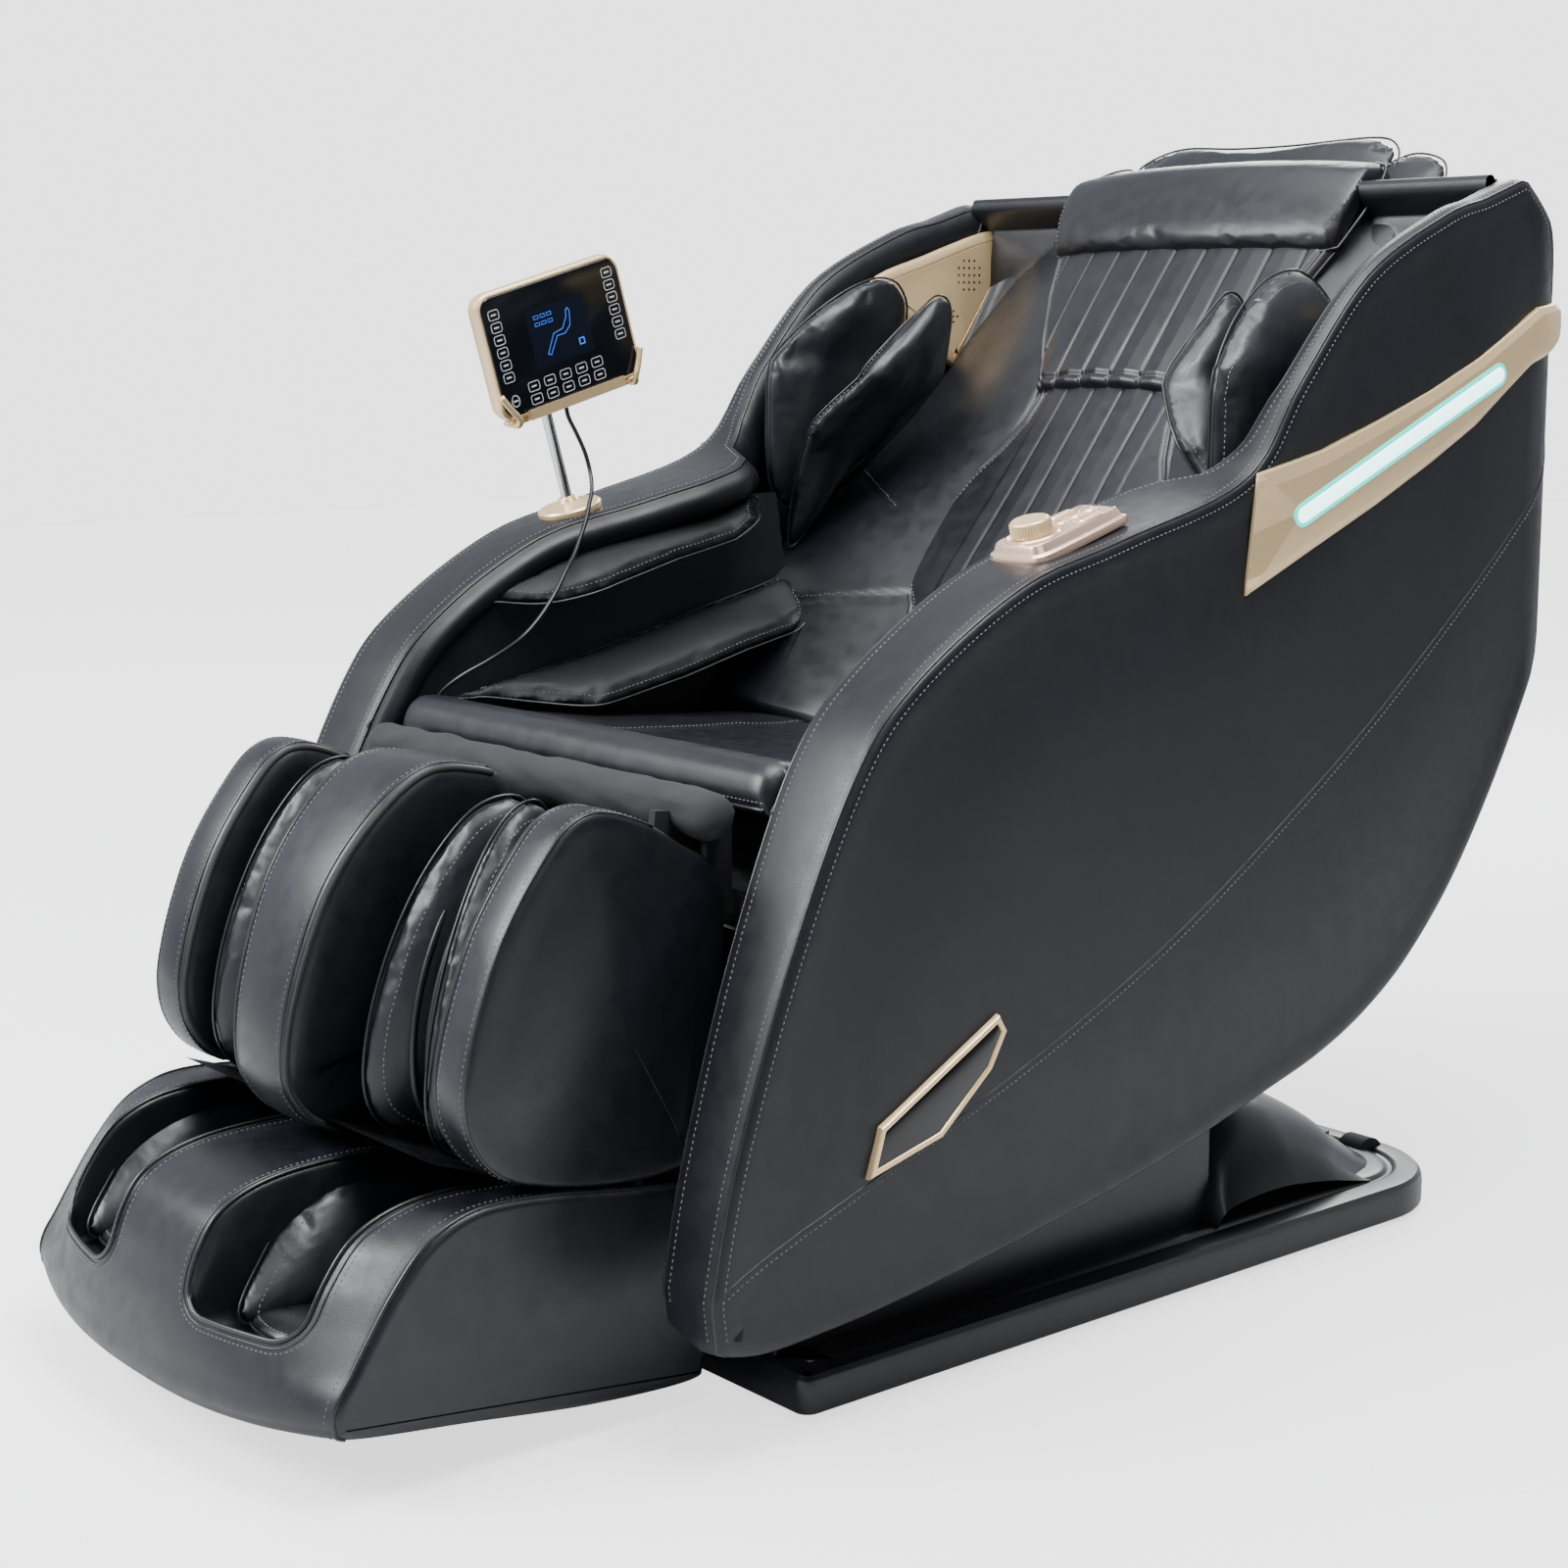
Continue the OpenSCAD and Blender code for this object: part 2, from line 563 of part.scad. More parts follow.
module roller_arm(side) color("silver") on_back() difference() {
    union() {
        across(side * 56 - 4, side * 56 + 4) polygon([[80, arm_pivot[1] + roller_reach + 8],
            [72, arm_pivot[1] + roller_reach], [78, arm_pivot[1]], [72, arm_pivot[1] - roller_reach],
            [80, arm_pivot[1] - roller_reach - 8], [90, arm_pivot[1] - roller_reach],
            [99, arm_pivot[1]], [90, arm_pivot[1] + roller_reach]]);
        translate([side * 52 - 8, arm_pivot[0], arm_pivot[1]]) rotate([0, 90, 0]) cylinder(r = 9, h = 16);
        for (z = [-1, 1]) translate([side * 73 - 17, 81, arm_pivot[1] + z * roller_reach])
            rotate([0, 90, 0]) cylinder(r = 4, h = 34);
    }
    translate([side * 52 - 12, arm_pivot[0], arm_pivot[1]]) rotate([0, 90, 0]) cylinder(r = 5 + fit, h = 24);
}
module roller_arm_left() roller_arm(1);
module roller_arm_right() roller_arm(-1);
module roller(side, up) color("peru") on_back() translate([side * roller_x, 81, arm_pivot[1] + up * roller_reach])
    rotate([0, 90, 0]) rotate_extrude() polygon([[4 + fit, -12], [roller_r - 5, -12], [roller_r, -6],
        [roller_r, 6], [roller_r - 5, 12], [4 + fit, 12]]);
module roller_upper_left() roller(1, 1);
module roller_lower_left() roller(1, -1);
module roller_upper_right() roller(-1, 1);
module roller_lower_right() roller(-1, -1);

// ---------- legrest ----------

well_x = 126;
slide_x = 227;
slide_y = -20;
module legrest_frame() color("dimgray") difference() {
    on_foot() union() {
        for (s = [-1, 1]) {
            rod_x(s * 218 - 8, s * 218 + 8, 0, 0, 15);
            translate([s * 215 - 4, -34, -250]) cube([8, 46, 250]);
            // sleeves of the foot slide
            translate([s * slide_x, slide_y, -250]) cylinder(r = slide_r + 4, h = 190);
        }
        for (z = [-240, -110]) translate([-219, -10, z]) cube([438, 20, 24]);
    }
    rod_x(-300, 300, lift_axis[0], lift_axis[1], pin_r + fit);
    for (s = [-1, 1]) on_foot() translate([s * slide_x, slide_y, -300]) cylinder(r = slide_r + fit, h = 260);
}

module calf_body() color([0.12, 0.12, 0.13]) difference() {
    side_line = curve([[-560, 214], [-640, 218], [-678, 238], [-697, 280], [-694, 334], [-680, 378],
        [-661, 421], [-633, 459], [-598, 496], [-565, 512], [-540, 514]], 3);
    mid_line = curve([[-560, 214], [-680, 222], [-720, 250], [-737, 287], [-728, 352], [-698, 430],
        [-655, 480], [-601, 515], [-545, 518]], 3);
    union() {
        across(-calf_half, calf_half) polygon(concat([[-527, 505], [-527, 214]], side_line));
        across(-55, 55) polygon(concat([[-527, 505], [-527, 214]], mid_line));
    }
    for (s = [-1, 1]) translate([s * well_x - well_w / 2, -760, 190]) cube([well_w, 178, 340]);
}
module calf_airbags() color([0.1, 0.1, 0.11]) {
    for (s = [-1, 1]) for (u = [-1, 1])
        across(s * well_x + u * (well_w / 2 - 14) - 12, s * well_x + u * (well_w / 2 - 14) + 12)
            polygon([[-590, 232], [-650, 240], [-668, 290], [-660, 350], [-630, 410], [-590, 450]]);
}

roller_at = [-640, 62];
module foot_body() color([0.12, 0.12, 0.13]) difference() {
    side_line = curve([[-473, 26], [-489, 20], [-588, 26], [-700, 44], [-800, 60], [-822, 74],
        [-820, 90], [-789, 130], [-767, 161], [-739, 190], [-705, 206], [-677, 209]], 3);
    mid_line = curve([[-473, 26], [-489, 20], [-588, 26], [-700, 40], [-830, 50], [-860, 66],
        [-856, 90], [-838, 140], [-815, 172], [-770, 198], [-705, 206], [-677, 209]], 3);
    union() {
        across(-258, 258) polygon(concat(side_line, [[-546, 207], [-480, 205]]));
        across(-90, 90) polygon(concat(mid_line, [[-546, 207], [-480, 205]]));
    }
    // foot wells, each deeper towards the heel
    for (s = [-1, 1]) across(s * well_x - well_w / 2, s * well_x + well_w / 2)
        polygon([[-800, 100], [-640, 70], [-540, 66], [-540, 230], [-830, 230]]);
    // pockets of the slide tubes and the sole roller
    for (s = [-1, 1]) on_foot() translate([s * slide_x, slide_y, -432]) cylinder(r = slide_r, h = 300);
    rod_x(-205, 205, roller_at[0], roller_at[1], 22);
}
module foot_rails() color("silver") {
    for (s = [-1, 1]) on_foot() translate([s * slide_x, slide_y, -431.5])
        cylinder(r = slide_r - 0.02, h = 366);
    rod_x(-204.5, 204.5, roller_at[0], roller_at[1], 4);
}
module sole_roller() color("peru") difference() {
    union() {
        rod_x(-200, 200, roller_at[0], roller_at[1], 8);
        for (x = [-164, -140, -116, -92, 92, 116, 140, 164])
            rod_x(x - 7, x + 7, roller_at[0], roller_at[1], 18);
    }
    rod_x(-201, 201, roller_at[0], roller_at[1], 4 + fit);
}

base_frame();
base_cover();
rubber_feet();
transport_wheel_left();
transport_wheel_right();
power_inlet();
power_switch();
control_box();
tilt_pins();
tilt_actuator();
tilt_rod();
seat_frame();
legrest_pins();
side_panel_left();
side_panel_right();
arm_box_left();
arm_box_right();
back_cover();
seat_board();
seat_cushion();
guide_rails();
backrest_pad();
back_bolsters();
head_pillow();
shoulder_airbags();
arm_airbags();
side_trims();
led_strips();
badge_bezels();
badge_inserts();
speaker_panels();
control_plate();
air_pump();
tablet_flange();
tablet_cord();
lead_screw();
carriage_frame();
carriage_motor();
roller_arm_left();
roller_arm_right();
roller_upper_left();
roller_lower_left();
roller_upper_right();
roller_lower_right();
legrest_frame();
calf_body();
calf_airbags();
foot_body();
foot_rails();
sole_roller();
tablet_pole();
tablet_case();
tablet_glass();
tablet_cradle();
control_knob();
control_button_1();
control_button_2();
control_button_3();
control_button_4();
control_button_5();
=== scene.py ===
import json
import math

import bmesh
import bpy
import numpy as np
from mathutils import Matrix, Vector, noise
from mathutils.bvhtree import BVHTree

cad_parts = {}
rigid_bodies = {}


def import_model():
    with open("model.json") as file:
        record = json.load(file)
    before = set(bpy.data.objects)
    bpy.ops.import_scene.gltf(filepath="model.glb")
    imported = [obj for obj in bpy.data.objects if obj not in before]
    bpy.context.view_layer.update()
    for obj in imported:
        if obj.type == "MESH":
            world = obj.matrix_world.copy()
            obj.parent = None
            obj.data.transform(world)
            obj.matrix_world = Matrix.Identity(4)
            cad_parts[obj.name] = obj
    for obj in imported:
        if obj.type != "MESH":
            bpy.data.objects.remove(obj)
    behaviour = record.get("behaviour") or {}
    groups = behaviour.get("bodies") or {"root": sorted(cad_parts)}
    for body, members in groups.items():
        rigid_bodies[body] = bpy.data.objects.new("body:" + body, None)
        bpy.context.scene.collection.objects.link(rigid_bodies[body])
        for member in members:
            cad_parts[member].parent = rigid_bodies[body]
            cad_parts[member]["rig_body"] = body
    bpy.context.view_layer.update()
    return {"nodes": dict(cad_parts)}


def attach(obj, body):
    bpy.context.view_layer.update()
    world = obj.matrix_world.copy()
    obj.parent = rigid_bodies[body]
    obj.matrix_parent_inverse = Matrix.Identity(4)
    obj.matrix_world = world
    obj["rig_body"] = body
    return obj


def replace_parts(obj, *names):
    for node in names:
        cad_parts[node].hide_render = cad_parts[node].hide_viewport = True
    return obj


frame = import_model()
nodes = frame["nodes"]

# Lengths below are millimetres in the part's frame; MM turns them into metres.
MM = 0.001
HALF_W = 390
ARM_SLOPE = math.radians(15.5)
RECLINE = math.radians(38)
BACK_FOOT = (12, 480)
# the shell's upright rear corners: centre x, centre y, radius
CORNER = (310, 428, 80)
PLATE_AT = Vector((335, -148, 700))
FLANGE_AT = Vector((-335, -178, 691.5))
POLE_TOP = 112
# the leg rest's axis (y, z)
LIFT_AXIS = (-455, 490)
SIDES = ((-1, "right"), (1, "left"))


# ---------------------------------------------------------------- materials

def shader_link(tree, a, out, b, into):
    tree.links.new(a.outputs[out], b.inputs[into])


def new_material(name, roughness, metallic=0.0, color=None, **sockets):
    """A Principled material, its node tree and its shader, with uniform values set."""
    mat = bpy.data.materials.new(name)
    mat.use_nodes = True
    bsdf = mat.node_tree.nodes["Principled BSDF"]
    bsdf.inputs["Roughness"].default_value = roughness
    bsdf.inputs["Metallic"].default_value = metallic
    if color:
        bsdf.inputs["Base Color"].default_value = (*color, 1)
    for socket, value in sockets.items():
        bsdf.inputs[socket.replace("_", " ")].default_value = value
    return mat, mat.node_tree, bsdf


def texture(tree, kind, scale, detail=2.0):
    """A procedural texture in object space, scale in features per metre."""
    place = tree.nodes.get("place") or tree.nodes.new("ShaderNodeTexCoord")
    place.name = "place"
    node = tree.nodes.new(kind)
    node.inputs["Scale"].default_value = scale
    if "Detail" in node.inputs:
        node.inputs["Detail"].default_value = detail
    shader_link(tree, place, "Object", node, "Vector")
    return node


def ramp(tree, source, output, low, high, start=0.3, end=0.7):
    node = tree.nodes.new("ShaderNodeValToRGB")
    node.color_ramp.elements[0].position = start
    node.color_ramp.elements[1].position = end
    node.color_ramp.elements[0].color = (*low, 1)
    node.color_ramp.elements[1].color = (*high, 1)
    shader_link(tree, source, output, node, "Fac")
    return node


def add_bump(tree, bsdf, layers):
    """Stacks bump layers of (texture node, output name, strength, depth in mm) on the shader."""
    before = None
    for node, output, strength, depth in layers:
        bump = tree.nodes.new("ShaderNodeBump")
        bump.inputs["Strength"].default_value = strength
        bump.inputs["Distance"].default_value = depth * MM
        shader_link(tree, node, output, bump, "Height")
        if before:
            shader_link(tree, before, "Normal", bump, "Normal")
        before = bump
    shader_link(tree, before, "Normal", bsdf, "Normal")


def leather(name, dark, light, rough=(0.36, 0.5), crease=0.12, specular=0.5):
    mat, tree, bsdf = new_material(name, 0.42, Specular_IOR_Level=specular)
    cloud = texture(tree, "ShaderNodeTexNoise", 9, 3)
    tint = ramp(tree, cloud, "Fac", dark, light)
    shader_link(tree, tint, "Color", bsdf, "Base Color")
    patch = texture(tree, "ShaderNodeTexNoise", 60, 4)
    gloss = ramp(tree, patch, "Fac", (rough[0],) * 3, (rough[1],) * 3)
    shader_link(tree, gloss, "Color", bsdf, "Roughness")
    grain = texture(tree, "ShaderNodeTexVoronoi", 720)
    pores = texture(tree, "ShaderNodeTexNoise", 1500, 2)
    folds = texture(tree, "ShaderNodeTexNoise", 14, 4)
    add_bump(tree, bsdf, [(folds, "Fac", crease, 3.0), (grain, "Distance", 0.16, 0.25),
                          (pores, "Fac", 0.12, 0.15)])
    return mat


def plastic(name, color, roughness, grain_scale=1400, grain=0.1):
    mat, tree, bsdf = new_material(name, roughness)
    cloud = texture(tree, "ShaderNodeTexNoise", 30, 3)
    tint = ramp(tree, cloud, "Fac", [c * 0.85 for c in color], [min(c * 1.15, 1) for c in color])
    shader_link(tree, tint, "Color", bsdf, "Base Color")
    grit = texture(tree, "ShaderNodeTexNoise", grain_scale, 2)
    add_bump(tree, bsdf, [(grit, "Fac", grain, 0.2)])
    return mat


def metal(name, color, roughness, streak=(1, 1, 1), flake=0.05, metallic=1.0):
    mat, tree, bsdf = new_material(name, roughness, metallic)
    grit = texture(tree, "ShaderNodeTexNoise", 900, 3)
    stretch = tree.nodes.new("ShaderNodeMapping")
    stretch.inputs["Scale"].default_value = streak
    shader_link(tree, tree.nodes["place"], "Object", stretch, "Vector")
    shader_link(tree, stretch, "Vector", grit, "Vector")
    tint = ramp(tree, grit, "Fac", [c * 0.9 for c in color], [min(c * 1.08, 1) for c in color])
    shader_link(tree, tint, "Color", bsdf, "Base Color")
    add_bump(tree, bsdf, [(grit, "Fac", flake, 0.1)])
    return mat


def glowing(name, color, strength):
    return new_material(name, 0.3, color=color, Emission_Color=(*color, 1),
                        Emission_Strength=strength)[0]


LEATHER = leather("leather_black", (0.0034, 0.0041, 0.0063), (0.0052, 0.0063, 0.0095), (0.32, 0.44))
LEATHER_SOFT = leather("leather_soft", (0.0025, 0.0029, 0.0042), (0.004, 0.0047, 0.0066),
                       (0.26, 0.38), 0.3)
LEATHER_SHELL = leather("leather_shell", (0.0028, 0.0034, 0.0054), (0.0044, 0.0053, 0.008),
                        (0.36, 0.46), 0.05, 0.4)
LEATHER_MATTE = leather("leather_matte", (0.0026, 0.0031, 0.0046), (0.0042, 0.005, 0.0074),
                        (0.5, 0.6), 0.2, 0.3)
PIPING = leather("piping", (0.006, 0.0064, 0.008), (0.010, 0.0107, 0.013), (0.24, 0.32), 0.05)
THREAD = new_material("thread", 0.7, color=(0.11, 0.115, 0.125))[0]
MESH_CLOTH = plastic("mesh_lining", (0.012, 0.012, 0.014), 0.85, 500, 0.8)
GOLD = metal("champagne_gold", (0.80, 0.59, 0.33), 0.3, flake=0.03, metallic=0.6)
GOLD_BRIGHT = metal("champagne_bright", (0.86, 0.61, 0.47), 0.22, flake=0.02, metallic=0.75)
CHROME = metal("polished_steel", (0.62, 0.63, 0.65), 0.16, (1, 1, 14))
STEEL = metal("machined_steel", (0.5, 0.51, 0.53), 0.3, (12, 1, 1))
PAINTED = plastic("painted_steel", (0.02, 0.02, 0.022), 0.45, 700, 0.25)
BASE_BLACK = plastic("base_plastic", (0.008, 0.008, 0.010), 0.3, 1100, 0.12)
RUBBER = plastic("rubber", (0.012, 0.012, 0.012), 0.8, 500, 0.3)
CORD_SLEEVE = plastic("cord_sleeve", (0.004, 0.004, 0.0045), 0.3, 900, 0.1)
GREY_PLASTIC = plastic("grey_plastic", (0.08, 0.085, 0.09), 0.5)
ROLLER_TAN = plastic("roller_polymer", (0.22, 0.13, 0.07), 0.45)
RED = plastic("rocker_red", (0.3, 0.01, 0.01), 0.3)
BADGE = plastic("badge_black", (0.006, 0.006, 0.007), 0.12, 900, 0.02)
GLASS = new_material("screen_glass", 0.07, color=(0.004, 0.005, 0.007))[0]
LED = glowing("led_core", (0.6, 1.0, 0.95), 3.6)
# painted glow: a teal emissive ring that stands for the LED's light spreading over the trim round
# the bar
LED_PAINTED_GLOW = glowing("led_painted_glow", (0.01, 0.72, 0.62), 1.3)
SCREEN_BLUE = glowing("screen_blue", (0.03, 0.13, 0.6), 1.3)
SCREEN_DIM = glowing("screen_window", (0.001, 0.003, 0.01), 0.15)
PRINT = glowing("printed_white", (0.5, 0.52, 0.55), 0.12)


# ---------------------------------------------------------------- shared shapes

def spline(points, steps=4, closed=False):
    """Smooth curve through points of any dimension."""
    p = np.array(points, float)
    n = len(p)
    out = []
    for i in range(n if closed else n - 1):
        near = [p[(i + k) % n] if closed else p[min(max(i + k, 0), n - 1)] for k in (-1, 0, 1, 2)]
        for t in np.arange(steps) / steps:
            out.append(0.5 * (2 * near[1] + (near[2] - near[0]) * t
                              + (2 * near[0] - 5 * near[1] + 4 * near[2] - near[3]) * t ** 2
                              + (3 * near[1] - near[0] - 3 * near[2] + near[3]) * t ** 3))
    if not closed:
        out.append(p[-1])
    return np.array(out)


def resample(points, count, closed=False):
    p = np.array(points, float)
    if closed:
        p = np.vstack([p, p[:1]])
    run = np.concatenate([[0], np.cumsum(np.linalg.norm(np.diff(p, axis=0), axis=1))])
    at = np.linspace(0, run[-1], count + 1)[:-1] if closed else np.linspace(0, run[-1], count)
    return np.stack([np.interp(at, run, p[:, k]) for k in range(p.shape[1])], 1)


def inward(line):
    """Unit normals on the left of a closed 2-D outline."""
    t = np.roll(line, -1, 0) - np.roll(line, 1, 0)
    t /= np.linalg.norm(t, axis=1)[:, None]
    return np.stack([-t[:, 1], t[:, 0]], 1)


def smoothstep(x, lo, hi):
    t = np.clip((np.asarray(x, float) - lo) / (hi - lo), 0, 1)
    return t * t * (3 - 2 * t)


def groove(distance, depth, width):
    return -depth * np.exp(-(np.asarray(distance) / width) ** 2)


def finish_piece(obj, mat, body):
    obj.data.materials.clear()
    obj.data.materials.append(mat)
    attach(obj, body)
    return obj


def make_mesh(name, verts, faces, smooth=True):
    """A mesh object from vertices in millimetres, its normals pointing outward."""
    mesh = bpy.data.meshes.new(name)
    mesh.from_pydata([tuple(v) for v in np.asarray(verts, float) * MM], [], faces)
    bm = bmesh.new()
    bm.from_mesh(mesh)
    bmesh.ops.remove_doubles(bm, verts=bm.verts, dist=0.00002)
    bmesh.ops.recalc_face_normals(bm, faces=bm.faces)
    bm.to_mesh(mesh)
    bm.free()
    mesh.polygons.foreach_set("use_smooth", [smooth] * len(mesh.polygons))
    obj = bpy.data.objects.new(name, mesh)
    bpy.context.scene.collection.objects.link(obj)
    return obj


def piece(name, verts, faces, mat, body="shell", smooth=True):
    return finish_piece(make_mesh(name, verts, faces, smooth), mat, body)


def grid_faces(rows, columns, wrap_rows=False, wrap_columns=False):
    faces = []
    for i in range(rows if wrap_rows else rows - 1):
        for j in range(columns if wrap_columns else columns - 1):
            a, b = (i + 1) % rows, (j + 1) % columns
            faces.append((i * columns + j, a * columns + j, a * columns + b, i * columns + b))
    return faces


def mirrored(obj, name):
    """A copy of a piece on the other side of the chair."""
    twin = obj.copy()
    twin.data = obj.data.copy()
    twin.data.transform(Matrix.Scale(-1, 4, (1, 0, 0)))
    twin.data.flip_normals()
    twin.name = name
    bpy.context.scene.collection.objects.link(twin)
    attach(twin, obj["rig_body"])
    return twin


def both(*parts):
    """Adds the twins, on the sitter's right, of pieces made on the left."""
    return [mirrored(part, part.name.replace("left", "right")) for part in parts]


def sweep(path, radius, sides=6, closed=False):
    """Vertices and faces of a round tube along a path in millimetres."""
    p = np.array(path, float)
    n = len(p)
    if closed:
        t = np.roll(p, -1, 0) - np.roll(p, 1, 0)
    else:
        t = np.gradient(p, axis=0)
    t /= np.linalg.norm(t, axis=1)[:, None] + 1e-9
    side = np.cross(t[0], (0.31, 0.87, 0.38))
    verts = []
    for i in range(n):
        side = side - t[i] * np.dot(side, t[i])
        side /= np.linalg.norm(side)
        up = np.cross(t[i], side)
        for k in range(sides):
            a = 2 * math.pi * k / sides
            verts.append(p[i] + radius * (math.cos(a) * side + math.sin(a) * up))
    faces = grid_faces(n, sides, wrap_rows=closed, wrap_columns=True)
    if not closed:
        faces += [tuple(range(sides)), tuple(range((n - 1) * sides, n * sides))]
    return verts, faces


def tube(name, path, radius, mat=PIPING, body="shell", closed=False, sides=6):
    verts, faces = sweep(path, radius, sides, closed)
    return piece(name, verts, faces, mat, body)


def surface_of(obj):
    return BVHTree.FromObject(obj, bpy.context.evaluated_depsgraph_get())


def laid_on(tree, path, lift=0.0):
    """The path moved onto a surface, with the surface's normals there."""
    points, normals = [], []
    for q in path:
        hit = tree.find_nearest(Vector(q) * MM)
        points.append(np.array(hit[0]) / MM + np.array(hit[1]) * lift)
        normals.append(np.array(hit[1]))
    return np.array(points), np.array(normals)


def stitches(name, obj, path, body="shell"):
    """A row of thread stitches laid along a path on a piece's surface."""
    pitch, length, width = 5.2, 3.6, 0.75
    total = np.linalg.norm(np.diff(np.array(path, float), axis=0), axis=1).sum()
    spots, normals = laid_on(surface_of(obj), resample(path, max(int(total / pitch), 3)))
    run = np.gradient(spots, axis=0)
    verts, faces = [], []
    for at, n, t in zip(spots, normals, run):
        t = t / (np.linalg.norm(t) + 1e-9)
        s = np.cross(n, t)
        k = len(verts)
        verts += [at - t * length / 2, at + s * width, at + n * width, at - s * width,
                  at + t * length / 2]
        faces += [(k, k + 1, k + 2), (k, k + 2, k + 3), (k + 4, k + 2, k + 1),
                  (k + 4, k + 3, k + 2), (k, k + 3, k + 4, k + 1)]
    return piece(name, verts, faces, THREAD, body, smooth=False)


def welt(name, obj, path, radius=1.5, body="shell", closed=False, sink=0.3, mat=PIPING):
    """A piped seam laid along a path on a piece's surface."""
    spots, _ = laid_on(surface_of(obj), path, -sink)
    return tube(name, spots, radius, mat, body, closed)


def puff(obj, cap):
    """Swells a closed pad by cloth simulation, each point moving at most cap millimetres."""
    voxel, pressure, stiffness, frames = 5.0, 4.0, 25, 20
    bpy.context.view_layer.update()
    mod = obj.modifiers.new("remesh", "REMESH")
    mod.mode = "VOXEL"
    mod.voxel_size = voxel * MM
    apply_modifiers(obj)
    start = mesh_points(obj)
    cloth = obj.modifiers.new("cloth", "CLOTH")
    cloth.settings.use_pressure = True
    cloth.settings.uniform_pressure_force = pressure
    cloth.settings.effector_weights.gravity = 0
    cloth.settings.tension_stiffness = stiffness
    cloth.settings.compression_stiffness = stiffness
    cloth.point_cache.frame_start = 1
    cloth.point_cache.frame_end = frames
    for f in range(1, frames + 1):
        bpy.context.scene.frame_set(f)
    apply_modifiers(obj)
    bpy.context.scene.frame_set(1)
    moved = mesh_points(obj) - start
    size = np.linalg.norm(moved, axis=1)[:, None] + 1e-9
    limit = cap * MM
    eased = limit * np.tanh(size / limit)
    set_points(obj, start + moved / size * eased)
    obj.data.polygons.foreach_set("use_smooth", [True] * len(obj.data.polygons))
    mod = obj.modifiers.new("smooth", "SUBSURF")
    mod.levels = mod.render_levels = 1


def apply_modifiers(obj):
    graph = bpy.context.evaluated_depsgraph_get()
    graph.update()
    mesh = bpy.data.meshes.new_from_object(obj.evaluated_get(graph))
    obj.modifiers.clear()
    obj.data = mesh


def mesh_points(obj):
    co = np.zeros(len(obj.data.vertices) * 3)
    obj.data.vertices.foreach_get("co", co)
    return co.reshape(-1, 3)


def set_points(obj, co):
    obj.data.vertices.foreach_set("co", np.asarray(co, float).ravel())
    obj.data.update()


def leaf(name, outline, place, thick, mat=LEATHER_SOFT, body="shell", count=72):
    """A closed pad from a 2-D outline: crowned on both faces and thin at its edge."""
    line = resample(outline, count, closed=True)
    middle = line.mean(0)
    shares = (1, 0.985, 0.95, 0.89, 0.8, 0.66, 0.48, 0.28, 0.1)
    verts, faces = [], []
    for face_side in (1, -1):
        first = len(verts)
        for share in shares:
            h = 0.5 * thick * (1 - share ** 3.0) ** 0.55 * face_side
            verts += [place(*(middle + (q - middle) * share), h) for q in line]
        faces += [tuple(first + k for k in f)
                  for f in grid_faces(len(shares), count, wrap_columns=True)]
        inner = first + (len(shares) - 1) * count
        faces.append(tuple(inner + k for k in range(count)))
    return piece(name, verts, faces, mat, body)


def padded_leaf(name, outline, place, thick, cap, body="shell", seam=1.2, **looks):
    """A leaf pad swollen by cloth simulation, with a piped edge and a stitched border."""
    pad = leaf(name, outline, place, thick, body=body, **looks)
    puff(pad, cap)
    line = resample(outline, 110, closed=True)
    middle = line.mean(0)
    edge = [place(*q, 0) for q in line]
    parts = [pad, tube(name + "_welt", edge, seam, body=body, closed=True)]
    border = [place(*(middle + (q - middle) * 0.93), thick * 0.4) for q in line]
    parts.append(stitches(name + "_stitch", pad, border + border[:1], body))
    return parts


def paired(parts):
    both(*parts)[0]
    return parts[0]


def round_corner(verts, stand=0.0):
    """Wraps points past the shell's square rear corners onto its upright rounded corners."""
    v = np.array(verts, float)
    cx, cy, r = CORNER
    r = r + stand
    dx = np.abs(v[:, 0]) - cx
    dy = v[:, 1] - cy
    far = np.hypot(dx, dy)
    hit = (dx > 0) & (dy > 0) & (far > r)
    k = np.where(hit, r / np.maximum(far, 1e-6), 1)
    v[:, 0] = np.where(hit, np.sign(v[:, 0]) * (cx + dx * k), v[:, 0])
    v[:, 1] = np.where(hit, cy + dy * k, v[:, 1])
    return v


def on_back(x, s, d):
    """Local place on the reclined back: s up the back, d behind its front plane."""
    return np.array((x, BACK_FOOT[0] + math.sin(RECLINE) * s + math.cos(RECLINE) * d,
                     BACK_FOOT[1] + math.cos(RECLINE) * s - math.sin(RECLINE) * d))


def on_arm(at, x, y, z):
    c, s = math.cos(ARM_SLOPE), math.sin(ARM_SLOPE)
    return np.array((at[0] + x, at[1] + y * c - z * s, at[2] + y * s + z * c))


# ---------------------------------------------------------------- camera, light and floor

def make_camera():
    data = bpy.data.cameras.new("camera")
    data.lens = 62.72
    data.sensor_width = 36
    data.clip_end = 50
    cam = bpy.data.objects.new("camera", data)
    bpy.context.scene.collection.objects.link(cam)
    turn, pitch, roll = (math.radians(a) for a in (50.51, 9.85, -0.318))
    ahead = Vector((-math.sin(turn) * math.cos(pitch), math.cos(turn) * math.cos(pitch),
                    -math.sin(pitch)))
    right = Vector((math.cos(turn), math.sin(turn), 0))
    up = right.cross(ahead)
    right, up = (right * math.cos(roll) + up * math.sin(roll),
                 up * math.cos(roll) - right * math.sin(roll))
    rotation = Matrix((right, up, -ahead)).transposed().to_4x4()
    cam.matrix_world = Matrix.Translation((1.95965, -1.7883, 0.8926)) @ rotation
    bpy.context.scene.camera = cam


